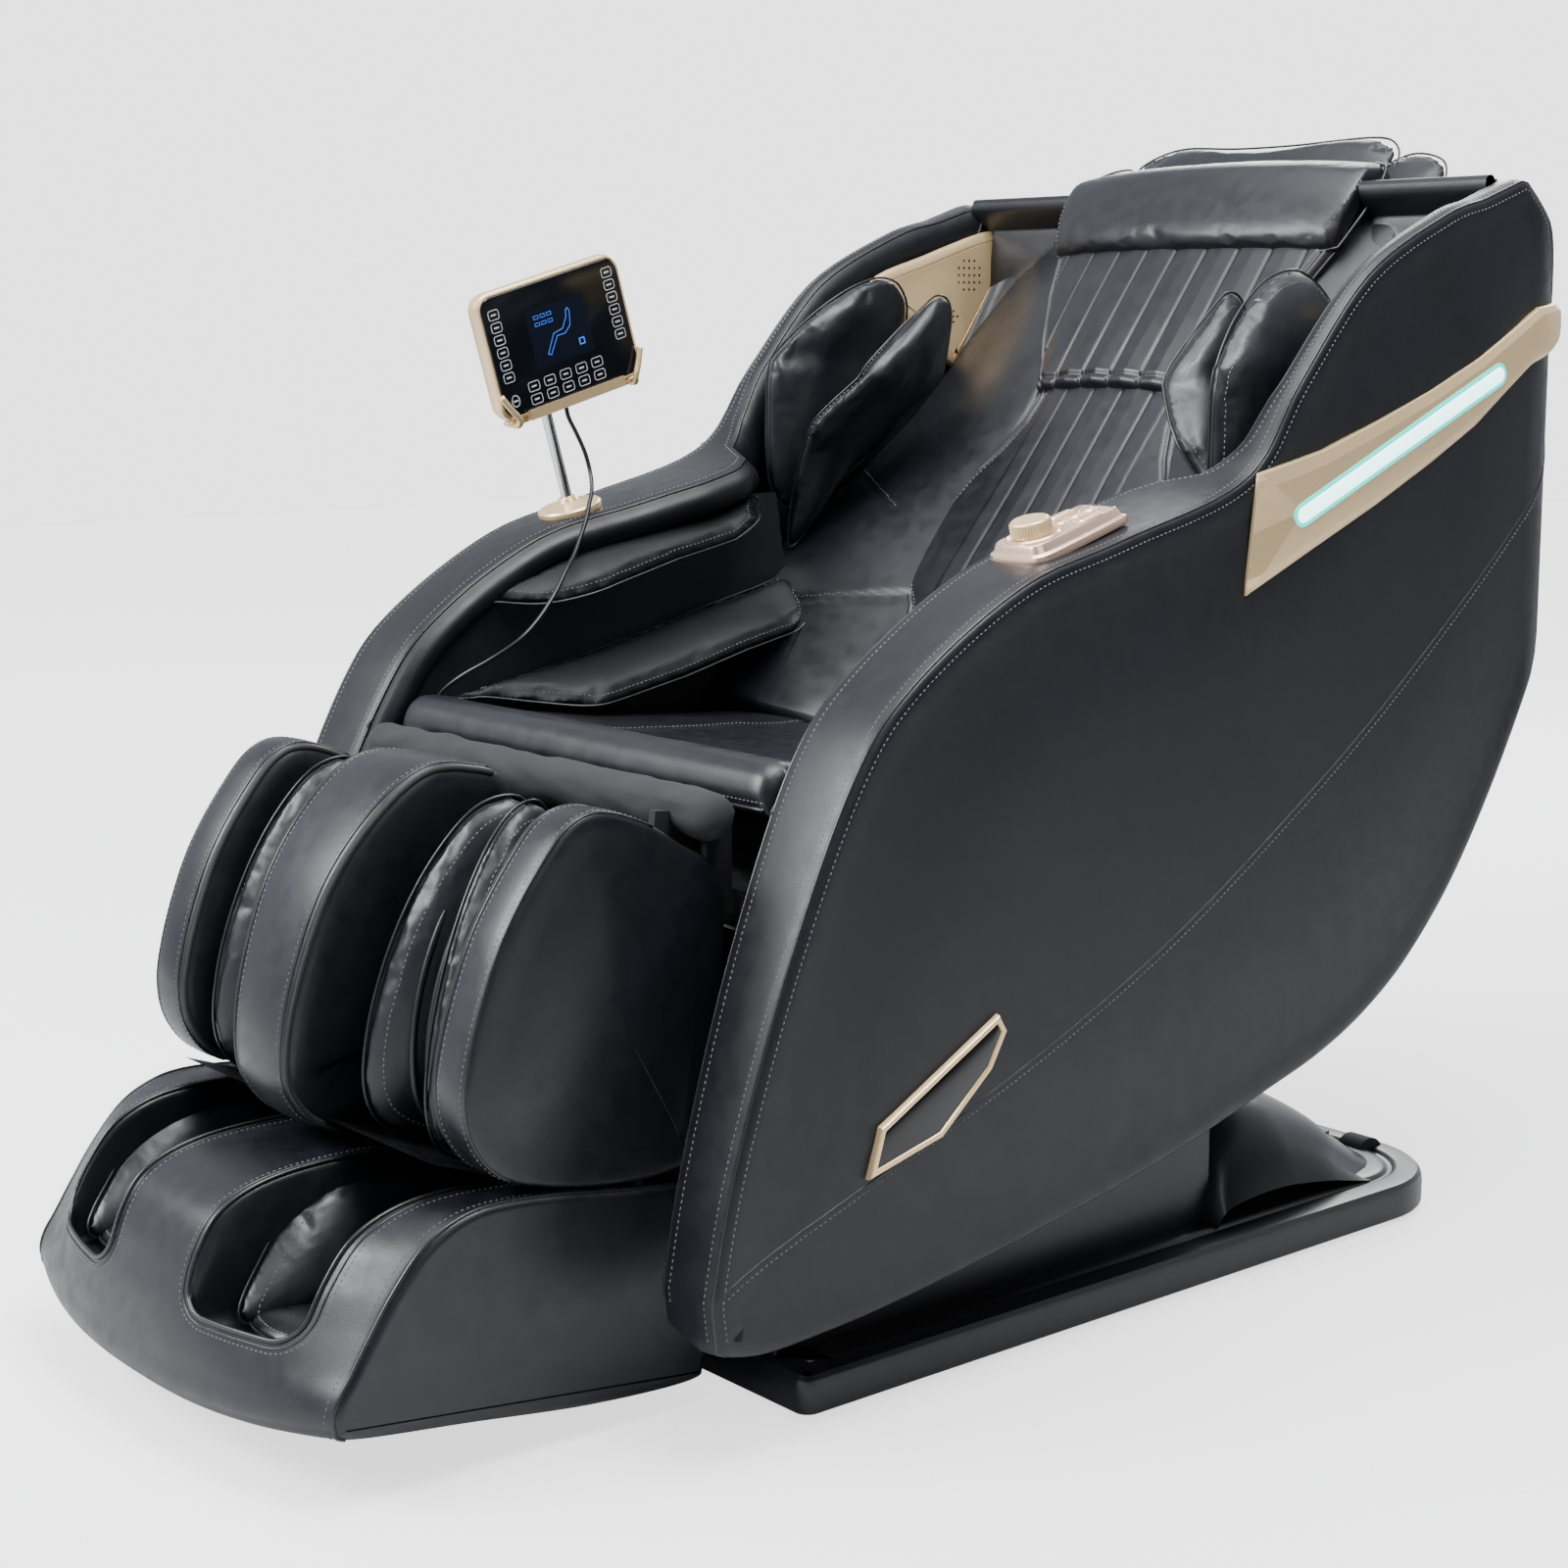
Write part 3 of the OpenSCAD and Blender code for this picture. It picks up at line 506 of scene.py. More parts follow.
def area_light(name, at, target, size, power):
    data = bpy.data.lights.new(name, "AREA")
    data.shape = "RECTANGLE"
    data.size, data.size_y = size
    data.energy = power
    lamp = bpy.data.objects.new(name, data)
    bpy.context.scene.collection.objects.link(lamp)
    lamp.location = at
    lamp.rotation_euler = (Vector(target) - Vector(at)).to_track_quat("-Z", "Y").to_euler()


def make_studio():
    """A pale room whose sitter's-left wall is darker, so that side of the chair shades off."""
    world = bpy.data.worlds.new("studio")
    world.use_nodes = True
    tree = world.node_tree
    sky = tree.nodes["Background"]
    sky.inputs[1].default_value = 1.0
    place = tree.nodes.new("ShaderNodeTexCoord")
    split = tree.nodes.new("ShaderNodeSeparateXYZ")
    shader_link(tree, place, "Generated", split, "Vector")
    walls = ramp(tree, split, "X", (0.74, 0.78, 0.84), (0.05, 0.056, 0.07), 0.25, 0.8)
    seen = tree.nodes.new("ShaderNodeLightPath")
    pick = tree.nodes.new("ShaderNodeMixRGB")
    pick.inputs[2].default_value = (2.7, 2.7, 2.7, 1)
    shader_link(tree, seen, "Is Camera Ray", pick, "Fac")
    shader_link(tree, walls, "Color", pick, 1)
    shader_link(tree, pick, "Color", sky, 0)
    bpy.context.scene.world = world
    area_light("key", (-1.3, -3.2, 2.7), (0, -0.2, 0.5), (2.6, 1.6), 285)
    area_light("top", (0.2, -0.2, 3.2), (0, 0, 0.5), (2.2, 2.2), 100)
    area_light("near_side", (3.6, -0.6, 2.2), (0.3, 0, 0.5), (1.2, 2.0), 14)
    area_light("inner", (1.0, -0.3, 2.6), (-0.2, 0.1, 0.7), (1.0, 1.0), 55)
    area_light("rear", (-1.5, 3.0, 2.2), (0, 0.2, 0.7), (2.0, 1.6), 110)


def make_floor():
    """A pale floor that brightens into the background away from the chair, with no horizon."""
    far = 9000
    floor = make_mesh("floor", [(-far, -far, 0), (far, -far, 0), (far, far, 0), (-far, far, 0)],
                      [(0, 1, 2, 3)])
    pale, tree, bsdf = new_material("pale_floor", 0.95, color=(0.6, 0.6, 0.61),
                                    Emission_Color=(1, 1, 1, 1))
    seen = tree.nodes.new("ShaderNodeLightPath")
    place = tree.nodes.new("ShaderNodeTexCoord")
    reach = tree.nodes.new("ShaderNodeVectorMath")
    reach.operation = "LENGTH"
    shader_link(tree, place, "Object", reach, 0)
    spread = tree.nodes.new("ShaderNodeMapRange")
    for socket, value in (("From Min", 1.3), ("From Max", 4.2), ("To Min", 1.6), ("To Max", 2.4)):
        spread.inputs[socket].default_value = value
    shader_link(tree, reach, "Value", spread, 0)
    glow = tree.nodes.new("ShaderNodeMath")
    glow.operation = "MULTIPLY"
    shader_link(tree, spread, 0, glow, 0)
    shader_link(tree, seen, "Is Camera Ray", glow, 1)
    shader_link(tree, glow, 0, bsdf, "Emission Strength")
    floor.data.materials.append(pale)


make_camera()
make_studio()
make_floor()


# ---------------------------------------------------------------- the tablet's lead

CORD_ROUTE = [[-335, -181.5, 801.8], [-334, -179, 787], [-330, -172, 770], [-324, -166, 750],
              [-317, -165, 730], [-308, -170, 714], [-299, -180, 700], [-289, -192, 684],
              [-278, -207, 668], [-265, -224, 653], [-251, -243, 641], [-239, -265, 621],
              [-233, -290, 597], [-233, -314, 578], [-246, -337, 561], [-266, -357, 545],
              [-284.5, -370, 528], [-290, -377, 510]]
CORD_R = 2.25


def make_cord():
    path = spline(CORD_ROUTE, 6)
    lead = tube("tablet_lead", path, CORD_R, CORD_SLEEVE, sides=10)
    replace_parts(lead, "tablet_cord")


make_cord()


# ---------------------------------------------------------------- side pods

REAR_LINE = [[-562, 100], [-540, 92], [-500, 88], [-400, 95], [-290, 110], [-170, 130], [-50, 155],
             [70, 188], [150, 212], [215, 242], [275, 284], [343, 356], [412, 461], [470, 575],
             [496, 665], [508, 760], [502, 857], [481, 918], [452, 973], [412, 1010]]
FRONT_LINE = [[350, 990], [294, 975], [184, 921], [95, 828], [27, 747], [-125, 703], [-243, 671],
              [-360, 602], [-423, 531], [-492, 387], [-544, 241], [-567, 140]]
POD_STATIONS = 300
pod_line = resample(np.vstack([spline(REAR_LINE, 6), spline(FRONT_LINE, 6)]), POD_STATIONS, True)
pod_in = inward(pod_line)
# the station where the rear line ends and the open wing begins
WING_START = int(np.argmin(np.linalg.norm(pod_line - REAR_LINE[-1], axis=1)))


def band_inner_x(q):
    """Where the top band's inner seam runs, for a point (y, z) of the side outline."""
    y, z = q
    if y < -330:
        return np.interp(z, [100, 240, 387, 531, 640], [322, 320, 312, 304, 302])
    arm = np.interp(y, [-330, -243, -170, -110, -60, -10, 12, 30, 60, 95],
                    [303, 298, 288, 275, 268, 270, 285, 330, 352, 362])
    wing = np.interp(y, [95, 184, 294, 350, 412], [362, 365, 362, 358, 352])
    return arm if y < 95 else wing


def make_pod():
    rows = []
    outer = [(389.0, 26), (389.8, 14), (389.4, 8), (388.2, 4), (386, 1.6), (382.5, 0.3)]
    for i, (q, n) in enumerate(zip(pod_line, pod_in)):
        open_side = i >= WING_START - 2
        w = band_inner_x(q) if open_side else 352.0
        profile = list(outer)
        for t in (0.15, 0.35, 0.6, 0.85):
            profile.append((382.5 + (w + 6 - 382.5) * t, -1.4 * math.sin(math.pi * t)))
        profile += [(w + 6, 0.0), (w + 3, 0.9), (w + 1.2, 3.0)]
        arm = q[1] < 700 and q[0] < 60 or q[0] < 20
        bulge, deep = (12, 36) if arm else (6, 48)
        if not open_side:
            bulge, deep = 0, 8
        profile += [(w - 0.35 * bulge, 0.16 * deep), (w - 0.8 * bulge, 0.3 * deep),
                    (w - bulge, 0.48 * deep), (w - 0.9 * bulge, 0.7 * deep),
                    (w - 0.4 * bulge, 0.9 * deep), (w + 8, deep), (w + 22, deep)]
        rows.append([(x, *(q + n * d)) for x, d in profile])
    verts = np.array(rows).reshape(-1, 3)
    columns = len(rows[0])
    faces = grid_faces(len(rows), columns, wrap_rows=True)
    faces.append(tuple(i * columns for i in range(len(rows))))
    pod = make_mesh("side_pod_left", verts, faces)
    split_outer_face(pod)
    co = mesh_points(pod) / MM
    # a soft crown over the flat outer face
    outline = resample(pod_line, 400, True)
    gap = np.array([np.min(np.hypot(*(outline - q[1:]).T)) if q[0] > 388.9 else 0 for q in co])
    co[:, 0] += 4.5 * smoothstep(gap, 26, 150)
    set_points(pod, round_corner(co) * MM)
    pod.data.polygons.foreach_set("use_smooth", [True] * len(pod.data.polygons))
    return finish_piece(pod, LEATHER_SHELL, "shell")


def split_outer_face(pod):
    """Cuts the pod's one wide outer face into a grid that can be crowned and wrapped."""
    bm = bmesh.new()
    bm.from_mesh(pod.data)
    for axis, low, high, step in ((1, -540, 506, 26), (2, 110, 990, 26), (1, 400, 506, 9)):
        for at in range(low, high, step):
            plane = Vector([k == axis for k in range(3)])
            wide = [f for f in bm.faces
                    if (len(f.verts) > 4 or f.calc_area() > 4e-4) and f.normal.x > 0.9]
            around = {p for f in wide for p in (f, *f.edges, *f.verts)}
            bmesh.ops.bisect_plane(bm, geom=list(around), plane_co=plane * at * MM,
                                   plane_no=plane)
    bm.to_mesh(pod.data)
    bm.free()


pod = make_pod()


def pod_edge(x, inset, first, last):
    """Points along the pod's outline, at one x or, if x is small, that far from the band's seam."""
    spots = []
    for i in range(first, last):
        k = i % POD_STATIONS
        q = pod_line[k] + pod_in[k] * inset
        at = x if x > 100 else band_inner_x(pod_line[k]) + x
        spots.append((at, *q))
    return round_corner(spots)


def make_pod_seams():
    start, end = WING_START, POD_STATIONS
    parts = [welt("rim_welt_left", pod, pod_edge(385, 1.5, start - 14, end + 2), 1.6),
             stitches("rim_stitch_left", pod, pod_edge(377, 0, start - 14, end)),
             stitches("face_stitch_left", pod, pod_edge(390, 9, start - 14, end)),
             welt("band_welt_left", pod, pod_edge(1.5, 2, start + 2, end - 2), 1.7),
             stitches("band_stitch_left", pod, pod_edge(12, 0, start + 2, end - 2))]
    slant = spline([(393, y, z) for y, z in
                    ((-560, 147), (-501, 174), (-399, 212), (-292, 252), (-179, 298), (-59, 356),
                     (67, 431), (200, 519), (339, 627), (448, 718), (540, 795))], 20)
    slant = round_corner(slant, 3)
    parts += [welt("panel_seam_left", pod, slant, 1.3, sink=0.6, mat=LEATHER),
              stitches("panel_stitch_left", pod, slant + (0, 3, -4.5))]
    both(*parts)


make_pod_seams()
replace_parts(pod, "side_panel_left", "arm_box_left")
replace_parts(mirrored(pod, "side_pod_right"), "side_panel_right", "arm_box_right")


def make_back_cover():
    half, waist_z = 351, 760
    line = resample(spline(REAR_LINE[6:], 6), 70)
    lip = spline([(412, 1010), (409, 1014), (402, 1014), (398, 1008), (401, 996), (424, 972)], 4)
    profile = np.vstack([line, lip[1:]])
    across = np.linspace(-half, half, 61)
    verts = [(x, y, z) for x in across for y, z in profile]
    cover = piece("rear_cover", round_corner(verts), grid_faces(len(across), len(profile)),
                  LEATHER_SHELL)
    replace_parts(cover, "back_cover")
    for side, tag in SIDES:
        edge = round_corner([(side * half, y, z) for y, z in line])
        tube("rear_corner_welt_" + tag, edge, 1.8)
        panel = round_corner([(side * 190, y, z) for y, z in line])
        welt("rear_panel_welt_" + tag, cover, panel, 1.6)
        stitches("rear_panel_stitch_" + tag, cover, panel + (side * 6, 0, 0))
    waist = round_corner([(x, 508, waist_z) for x in np.linspace(-345, 345, 80)])
    welt("rear_waist_welt", cover, waist, 1.6)
    stitches("rear_waist_stitch", cover, waist + (0, 0, 6))


make_back_cover()


def flat_sheet(name, x, outline):
    """A lining 4 mm thick, cut to an outline seen from the side."""
    n = len(outline)
    verts = [(at, y, z) for at in (x, x + 4) for y, z in outline]
    faces = [tuple(range(n)), tuple(range(n, 2 * n))]
    faces += [(i, (i + 1) % n, n + (i + 1) % n, n + i) for i in range(n)]
    return piece(name, verts, faces, LEATHER, smooth=False)


def make_linings():
    arm = [(-452, 440), (-440, 500), (-400, 552), (-340, 585), (-243, 638), (-125, 672),
           (-20, 700), (70, 700), (90, 560), (60, 430)]
    wing = [(20, 560), (5, 700), (60, 745), (120, 812), (200, 885), (294, 935), (360, 958),
            (405, 985), (470, 900), (440, 800), (330, 640), (180, 540)]
    both(flat_sheet("arm_lining_left", 306, arm))
    both(flat_sheet("wing_lining_left", 348, wing))


make_linings()


# ---------------------------------------------------------------- back padding

def relief(name, left, right, low, high, height, place, columns=90, rows=90, edge=10.0,
           drop=26.0, mat=LEATHER):
    """A closed pad between left(v) and right(v), low and high, its face at height(u, v)."""
    verts = []
    for j in range(rows):
        v = low + (high - low) * j / (rows - 1)
        a, b = left(v), right(v)
        for i in range(columns):
            u = a + (b - a) * i / (columns - 1)
            rim = min(u - a, b - u, v - low, high - v)
            k = min(max(rim / edge, 0), 1)
            fall = edge * (1 - math.sqrt(max(1 - (1 - k) ** 2, 0)))
            verts.append(place(u, v, height(u, v) - fall))
    faces = grid_faces(rows, columns)
    border = ([i for i in range(columns)] + [j * columns + columns - 1 for j in range(1, rows)]
              + [(rows - 1) * columns + i for i in range(columns - 2, -1, -1)]
              + [j * columns for j in range(rows - 2, 0, -1)])
    first = len(verts)
    for k in border:
        j, i = divmod(k, columns)
        v = low + (high - low) * j / (rows - 1)
        u = left(v) + (right(v) - left(v)) * i / (columns - 1)
        verts.append(place(u, v, height(u, v) - edge - drop))
    n = len(border)
    faces += [(border[k], border[(k + 1) % n], first + (k + 1) % n, first + k) for k in range(n)]
    faces.append(tuple(range(first, first + n)))
    return piece(name, verts, faces, mat)


def panel_edge(s):
    """Half width of the fluted centre panel at height s up the back."""
    return float(np.interp(s, [60, 100, 143, 162, 178, 203, 234, 269, 300, 336, 375, 406, 470],
                           [96, 112, 132, 150, 163, 168, 165, 157, 147, 126, 111, 108, 112]))


def pillow_edge(s):
    """Half width of the fluted pillow at height s up the back."""
    return float(np.interp(s, [410, 476, 535, 590, 651, 700], [108, 143, 172, 189, 203, 207]))


def back_place(x, s, h):
    return on_back(x, s, -h)


def edge_path(edge, low, high, count, inset=0, h=-2, side=1):
    """A line up the back, inset from the edge function, from height low to high."""
    return [back_place(side * (edge(s) - inset), s, h) for s in np.linspace(low, high, count)]


def make_centre_panel():
    lane_width = 40

    def height(x, s):
        e = panel_edge(s)
        spread = 1 + 0.1 * smoothstep(s, 330, 150)
        lane = x / (lane_width * spread)
        fluted = abs(lane) < 2.1
        k = (abs(lane) + 0.5) % 1
        k = min(k, 1 - k) * lane_width
        flute = groove(k, 1.4, 1.6) if fluted and e - abs(x) > 18 else 0
        border = groove(e - 11 - abs(x), 3.2, 2.6)
        return 1 + 9 * (1 - (x / e) ** 2) + 0.05 * k * fluted + flute + border
    pad = relief("backrest_panel", lambda s: -panel_edge(s), panel_edge, 12, 452, height,
                 back_place, 240, 140, 9)
    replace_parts(pad, "backrest_pad")
    relief("hip_filler", lambda s: -150, lambda s: 150, -30, 76,
           lambda x, s: -7 + 1.5 * noise.noise(Vector((x, s, 0)) * 0.02), back_place, 50, 20, 8, 14,
           LEATHER_SOFT)
    edge = edge_path(panel_edge, 440, 16, 66, h=-3, side=-1)
    edge += [back_place(x, 13, -3) for x in np.linspace(-90, 90, 12)]
    edge += edge_path(panel_edge, 16, 440, 66, h=-3)
    tube("panel_welt", edge, 2.2)
    for side in (-1, 1):
        line = edge_path(panel_edge, 90, 425, 60, 15, 6, side)
        stitches("panel_border_stitch_%d" % (side + 1), pad, line)


def make_bolster():
    outer = 343

    def seam(s):
        return min(panel_edge(s), pillow_edge(s)) + 1

    def height(x, s):
        t = (x - seam(s)) / (outer - seam(s))
        side = float(np.interp(s, [-10, 120, 200, 300, 400, 480, 600, 680],
                               [50, 46, 26, -12, -42, -54, -62, -66]))
        swell = float(np.interp(s, [0, 150, 350, 500, 680], [8, 12, 16, 12, 6]))
        crease = groove((s - 262) - 0.5 * (x - 240), 3.4, 3.0) * smoothstep(x, 196, 225)
        hip = groove((s - 132) + 0.3 * (x - 200), 3.4, 3.4)
        fold = 1.5 * noise.noise(Vector((x * 0.4, s, 0)) * 0.03) * smoothstep(s, 200, 60)
        shape = swell * math.sin(math.pi * min(t, 1)) + side * t ** 1.4
        rise = float(np.interp(s, [520, 585, 615, 648], [-90, -50, -27, -7]))
        return max(-3 + shape, rise) + crease + hip + 2 * fold
    pad = relief("back_bolster_left", seam, lambda s: outer, -14, 650, height, back_place, 66, 130,
                 9, 15)
    both(pad)[0]
    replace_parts(pad, "back_bolsters")
    line = [back_place(x, 262 + 0.5 * (x - 240), height(x, 255)) for x in np.linspace(215, 335, 30)]
    both(stitches("bolster_stitch_left", pad, np.array(line) + (0, 0, 5)))
    hips = [back_place(x, 132 - 0.3 * (x - 200), height(x, 120)) for x in np.linspace(150, 300, 30)]
    both(stitches("hip_stitch_left", pad, np.array(hips) + (0, 0, 5)))


def make_pillow():
    lane_width = 41

    def fluted(x, s):
        e = pillow_edge(s)
        k = abs(x) % lane_width
        k = min(k, lane_width - k)
        near_hem = smoothstep(s, 540, 425)
        flute = groove(k, 1.3 + 1.2 * near_hem, 1.6) * (e - abs(x) > 14)
        border = groove(e - 9 - abs(x), 3.0, 2.4)
        hem = groove(s - 425, 3.0, 2.6)
        puffed = (0.04 + 0.1 * near_hem) * k
        return 6 + 13 * (1 - (x / e) ** 2) + puffed + flute + border + hem
    lower = relief("pillow_fluted", lambda s: -pillow_edge(s), pillow_edge, 413, 596, fluted,
                   back_place, 250, 90, 9, 12)
    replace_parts(lower, "head_pillow")
    low_edge = edge_path(pillow_edge, 596, 418, 30, side=-1)
    low_edge += [back_place(x, 413 - 3 * math.cos(x / lane_width * 2 * math.pi),
                            -1 + 7 * (1 - (x / 104) ** 2)) for x in np.linspace(-102, 102, 60)]
    low_edge += edge_path(pillow_edge, 418, 596, 30)
    tube("pillow_low_welt", low_edge, 2.0)
    for side in (-1, 1):
        line = edge_path(pillow_edge, 430, 590, 40, 13, 6, side)
        stitches("pillow_border_stitch_%d" % (side + 1), lower, line)


def make_pillow_crown():
    low, high = 590, 706

    def crown_edge(s):
        return float(np.interp(s, [low, 640, 672, 692, high], [192, 203, 206, 203, 190]))

    def crowned(x, s):
        t = min(max((s - low) / (high - low), 0), 1)
        return (9 + 13 * (1 - (x / crown_edge(s)) ** 2) + 12 * (4 * t * (1 - t)) ** 0.7
                - 14 * smoothstep(t, 0.7, 1))

    def place(x, s, h):
        sag = 13 * (1 - (x / 200) ** 2) * min(max(1 - (s - low) / 90, 0), 1)
        return back_place(x, s - sag, h)
    crown = relief("pillow_crown", lambda s: -crown_edge(s), crown_edge, low, high, crowned,
                   place, 90, 44, 9, 14)
    edge = [place(x, low + 1, 5) for x in np.linspace(-186, 186, 50)]
    edge += [place(crown_edge(s), s, 1) for s in np.linspace(596, 698, 16)]
    edge += [place(x, high - 1, -4) for x in np.linspace(182, -182, 40)]
    edge += [place(-crown_edge(s), s, 1) for s in np.linspace(698, 596, 16)]
    puff(crown, 5)
    tube("pillow_crown_welt", edge, 1.9, closed=True)
    for side in (-1, 1):
        line = [place(side * (crown_edge(s) - 9), s, 20) for s in np.linspace(602, 690, 24)]
        stitches("pillow_crown_stitch_%d" % (side + 1), crown, line)


def make_top_flaps():
    rear = spline([(-152, 690), (0, 684), (152, 690), (186, 716), (176, 744), (140, 756), (40, 752),
                   (-40, 752), (-120, 756), (-164, 738), (-170, 712)], 6, closed=True)
    padded_leaf("pillow_rear_flap", rear, lambda u, v, h: on_back(u, v, 22 - 0.5 * h), 34, 5,
                mat=LEATHER)
    side = spline([(160, 560), (205, 556), (240, 600), (256, 660), (248, 712), (226, 733),
                   (186, 736), (160, 700)], 6, closed=True)
    paired(padded_leaf("shoulder_flap_left", side,
                       lambda u, v, h: on_back(u, v, 30 - 0.6 * h), 40, 5, mat=LEATHER))


make_centre_panel()
make_bolster()
make_pillow()
make_pillow_crown()
make_top_flaps()


# ---------------------------------------------------------------- airbags of the shoulders and arms

def make_shoulder_airbags():
    outer_line = spline([(70, 700), (62, 740), (62, 780), (64, 826), (72, 846), (105, 880),
                         (140, 905), (172, 920), (205, 926), (232, 915), (250, 885), (250, 820),
                         (215, 750), (150, 705), (100, 680)], 6, closed=True)
    inner_line = spline([(92, 640), (86, 670), (83, 738), (80, 779), (107, 823), (118, 838),
                         (150, 866), (185, 893), (205, 906), (222, 903), (230, 885), (228, 840),
                         (220, 806), (190, 750), (140, 700), (112, 655)], 6, closed=True)

    def outer_place(u, v, h):
        return np.array((np.interp(v, [843, 922], [312, 285]) + h, u, v))

    def inner_place(u, v, h):
        return np.array((np.interp(v, [640, 700, 738, 779, 823, 904],
                                   [312, 296, 281, 253, 213, 203]) + h, u, v))
    outer = padded_leaf("shoulder_outer_left", outer_line, outer_place, 38, 5, mat=LEATHER)
    inner = padded_leaf("shoulder_inner_left", inner_line, inner_place, 36, 6, mat=LEATHER)
    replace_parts(inner[0], "shoulder_airbags")
    paired(inner)
    paired(outer)


def arm_flap(name, inner, root, reach):
    """A flap from its root on the arm's lining (y, z) to its hanging edge at x = reach."""
    def place(u, v, h):
        t = (300 - u) / (300 - reach)
        low = np.interp(v, *np.array(root).T)
        return np.array((u, v, low + (np.interp(v, *np.array(inner).T) - low) * t - 6 + h))
    start, end = inner[0][0], inner[-1][0]
    outline = spline([(303, start + 6), (292, start + 14), (266, start + 52),
                      (reach + 3, start + 105), (reach, start + 160), (reach, end - 60),
                      (reach + 4, end - 12), (264, end), (303, end)], 8, closed=True)
    return paired(padded_leaf(name, outline, place, 20, 4, mat=LEATHER_MATTE))


def make_arm_flaps():
    upper = arm_flap("arm_flap_upper_left",
                     [(-312, 590), (-265, 602), (-181, 630), (-107, 650), (-31, 665), (10, 684)],
                     [(-312, 616), (-265, 630), (-181, 656), (-107, 674), (-31, 690), (10, 706)],
                     247)
    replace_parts(upper, "arm_airbags")
    arm_flap("arm_flap_lower_left",
             [(-330, 500), (-279, 502), (-183, 517), (-109, 532), (-32, 552), (37, 566), (72, 590)],
             [(-330, 524), (-279, 533), (-183, 551), (-109, 567), (-32, 587), (37, 603), (72, 615)],
             232)


make_shoulder_airbags()
make_arm_flaps()


# ---------------------------------------------------------------- seat

def make_seat():
    profile = spline([(62, 474), (10, 476), (-60, 480), (-150, 488), (-250, 498), (-330, 514),
                      (-378, 527), (-402, 530), (-416, 523), (-423, 510), (-424, 499), (-420, 492),
                      (-408, 488)], 8)
    half, edge_r, columns, under = 280, 18, 91, 470

    def crease_x(y):
        return 168 + 0.05 * y
    verts = []
    for i in range(columns):
        x = -half + 2 * half * i / (columns - 1)
        side = max(abs(x) - (half - edge_r), 0) / edge_r
        fall = 16 * (1 - math.sqrt(max(1 - side * side, 0)))
        dish = 9 * (1 - smoothstep(abs(x), 60, 235))
        for y, z in profile:
            top = smoothstep(z, 470, 500)
            back = smoothstep(y, -360, -200)
            crease = groove(abs(x) - crease_x(y), 6.0, 5.0) * back * smoothstep(z, 470, 480)
            pucker = 1.6 * noise.noise(Vector((x, y, z)) * 0.022) * (1 - 0.5 * top)
            out = fall if y < -400 else 0
            verts.append((x, y + out * 0.7, z - fall * top - dish * back * top + crease + pucker))
    faces = grid_faces(columns, len(profile))
    n = len(profile)
    for i in (0, columns - 1):
        first = len(verts)
        verts += [(verts[i * n + k][0], verts[i * n + k][1] + 4, under) for k in range(n)]
        faces += [(i * n + k, i * n + k + 1, first + k + 1, first + k) for k in range(n - 1)]
    seat = piece("seat_pad", verts, faces, LEATHER)
    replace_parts(seat, "seat_cushion")
    front = [(x, -425, 493) for x in np.linspace(-279, 279, 90)]
    welt("seat_front_welt", seat, front, 2.0, sink=-0.8)
    stitches("seat_front_stitch", seat, [(x, -426, 500) for x in np.linspace(-274, 274, 90)])
    for side in (-1, 1):
        line = [(side * crease_x(y), y, 500) for y in np.linspace(-330, -10, 50)]
        stitches("seat_crease_stitch_%d" % (side + 1), seat, np.array(line) + (side * 6, 0, 0))
    apron = relief("seat_apron", lambda v: -276, lambda v: 276, 380, 494,
                   lambda u, v: 3.5 * noise.noise(Vector((u * 0.5, v, 0)) * 0.04)
                   + 2 * noise.noise(Vector((u, v, 9)) * 0.02),
                   lambda u, v, h: (u, -403 - h, v), 100, 40, 5, 6, LEATHER_SOFT)
    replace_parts(apron, "seat_board")


make_seat()


# ---------------------------------------------------------------- calf unit

def signed_area(line):
    y, z = np.array(line, float).T
    return 0.5 * float(np.sum(y * np.roll(z, -1) - z * np.roll(y, -1)))


def mitred(line, inset):
    """A closed outline moved inward with mitred corners."""
    p = np.array(line, float)
    edge = np.roll(p, -1, 0) - p
    edge /= np.linalg.norm(edge, axis=1)[:, None] + 1e-9
    out = np.stack([-edge[:, 1], edge[:, 0]], 1)
    if signed_area(p) < 0:
        out = -out
    before = np.roll(out, 1, 0)
    both_ways = before + out
    return p + inset * both_ways / (1 + (before * out).sum(1) + 1e-6)[:, None]


def pebble(name, outline, profile, crown_in, crown_out, mat, body):
    """A crowned slab: a (y, z) outline lofted along x by (x, inset) stations, both caps domed."""
    count = 150
    line = resample(outline, count, True)
    if signed_area(line) < 0:
        line = line[::-1]
    normal = inward(line)
    middle = line.mean(0)

    def cap(station, crown, shares):
        x, inset = station
        return [[(x + crown * (1 - share ** 2.4), *q)
                 for q in middle + (line + normal * inset - middle) * share] for share in shares]
    loops = cap(profile[0], -crown_in, (0.15, 0.4, 0.62, 0.8, 0.92))
    loops += [[(x, *(q + n * d)) for q, n in zip(line, normal)] for x, d in profile]
    loops += cap(profile[-1], crown_out, (0.97, 0.92, 0.8, 0.62, 0.4, 0.15))
    verts = np.array(loops).reshape(-1, 3)
    faces = grid_faces(len(loops), count, wrap_columns=True)
    faces += [tuple(range(count)), tuple(range(len(verts) - count, len(verts)))]
    return piece(name, verts, faces, mat, body), line, normal


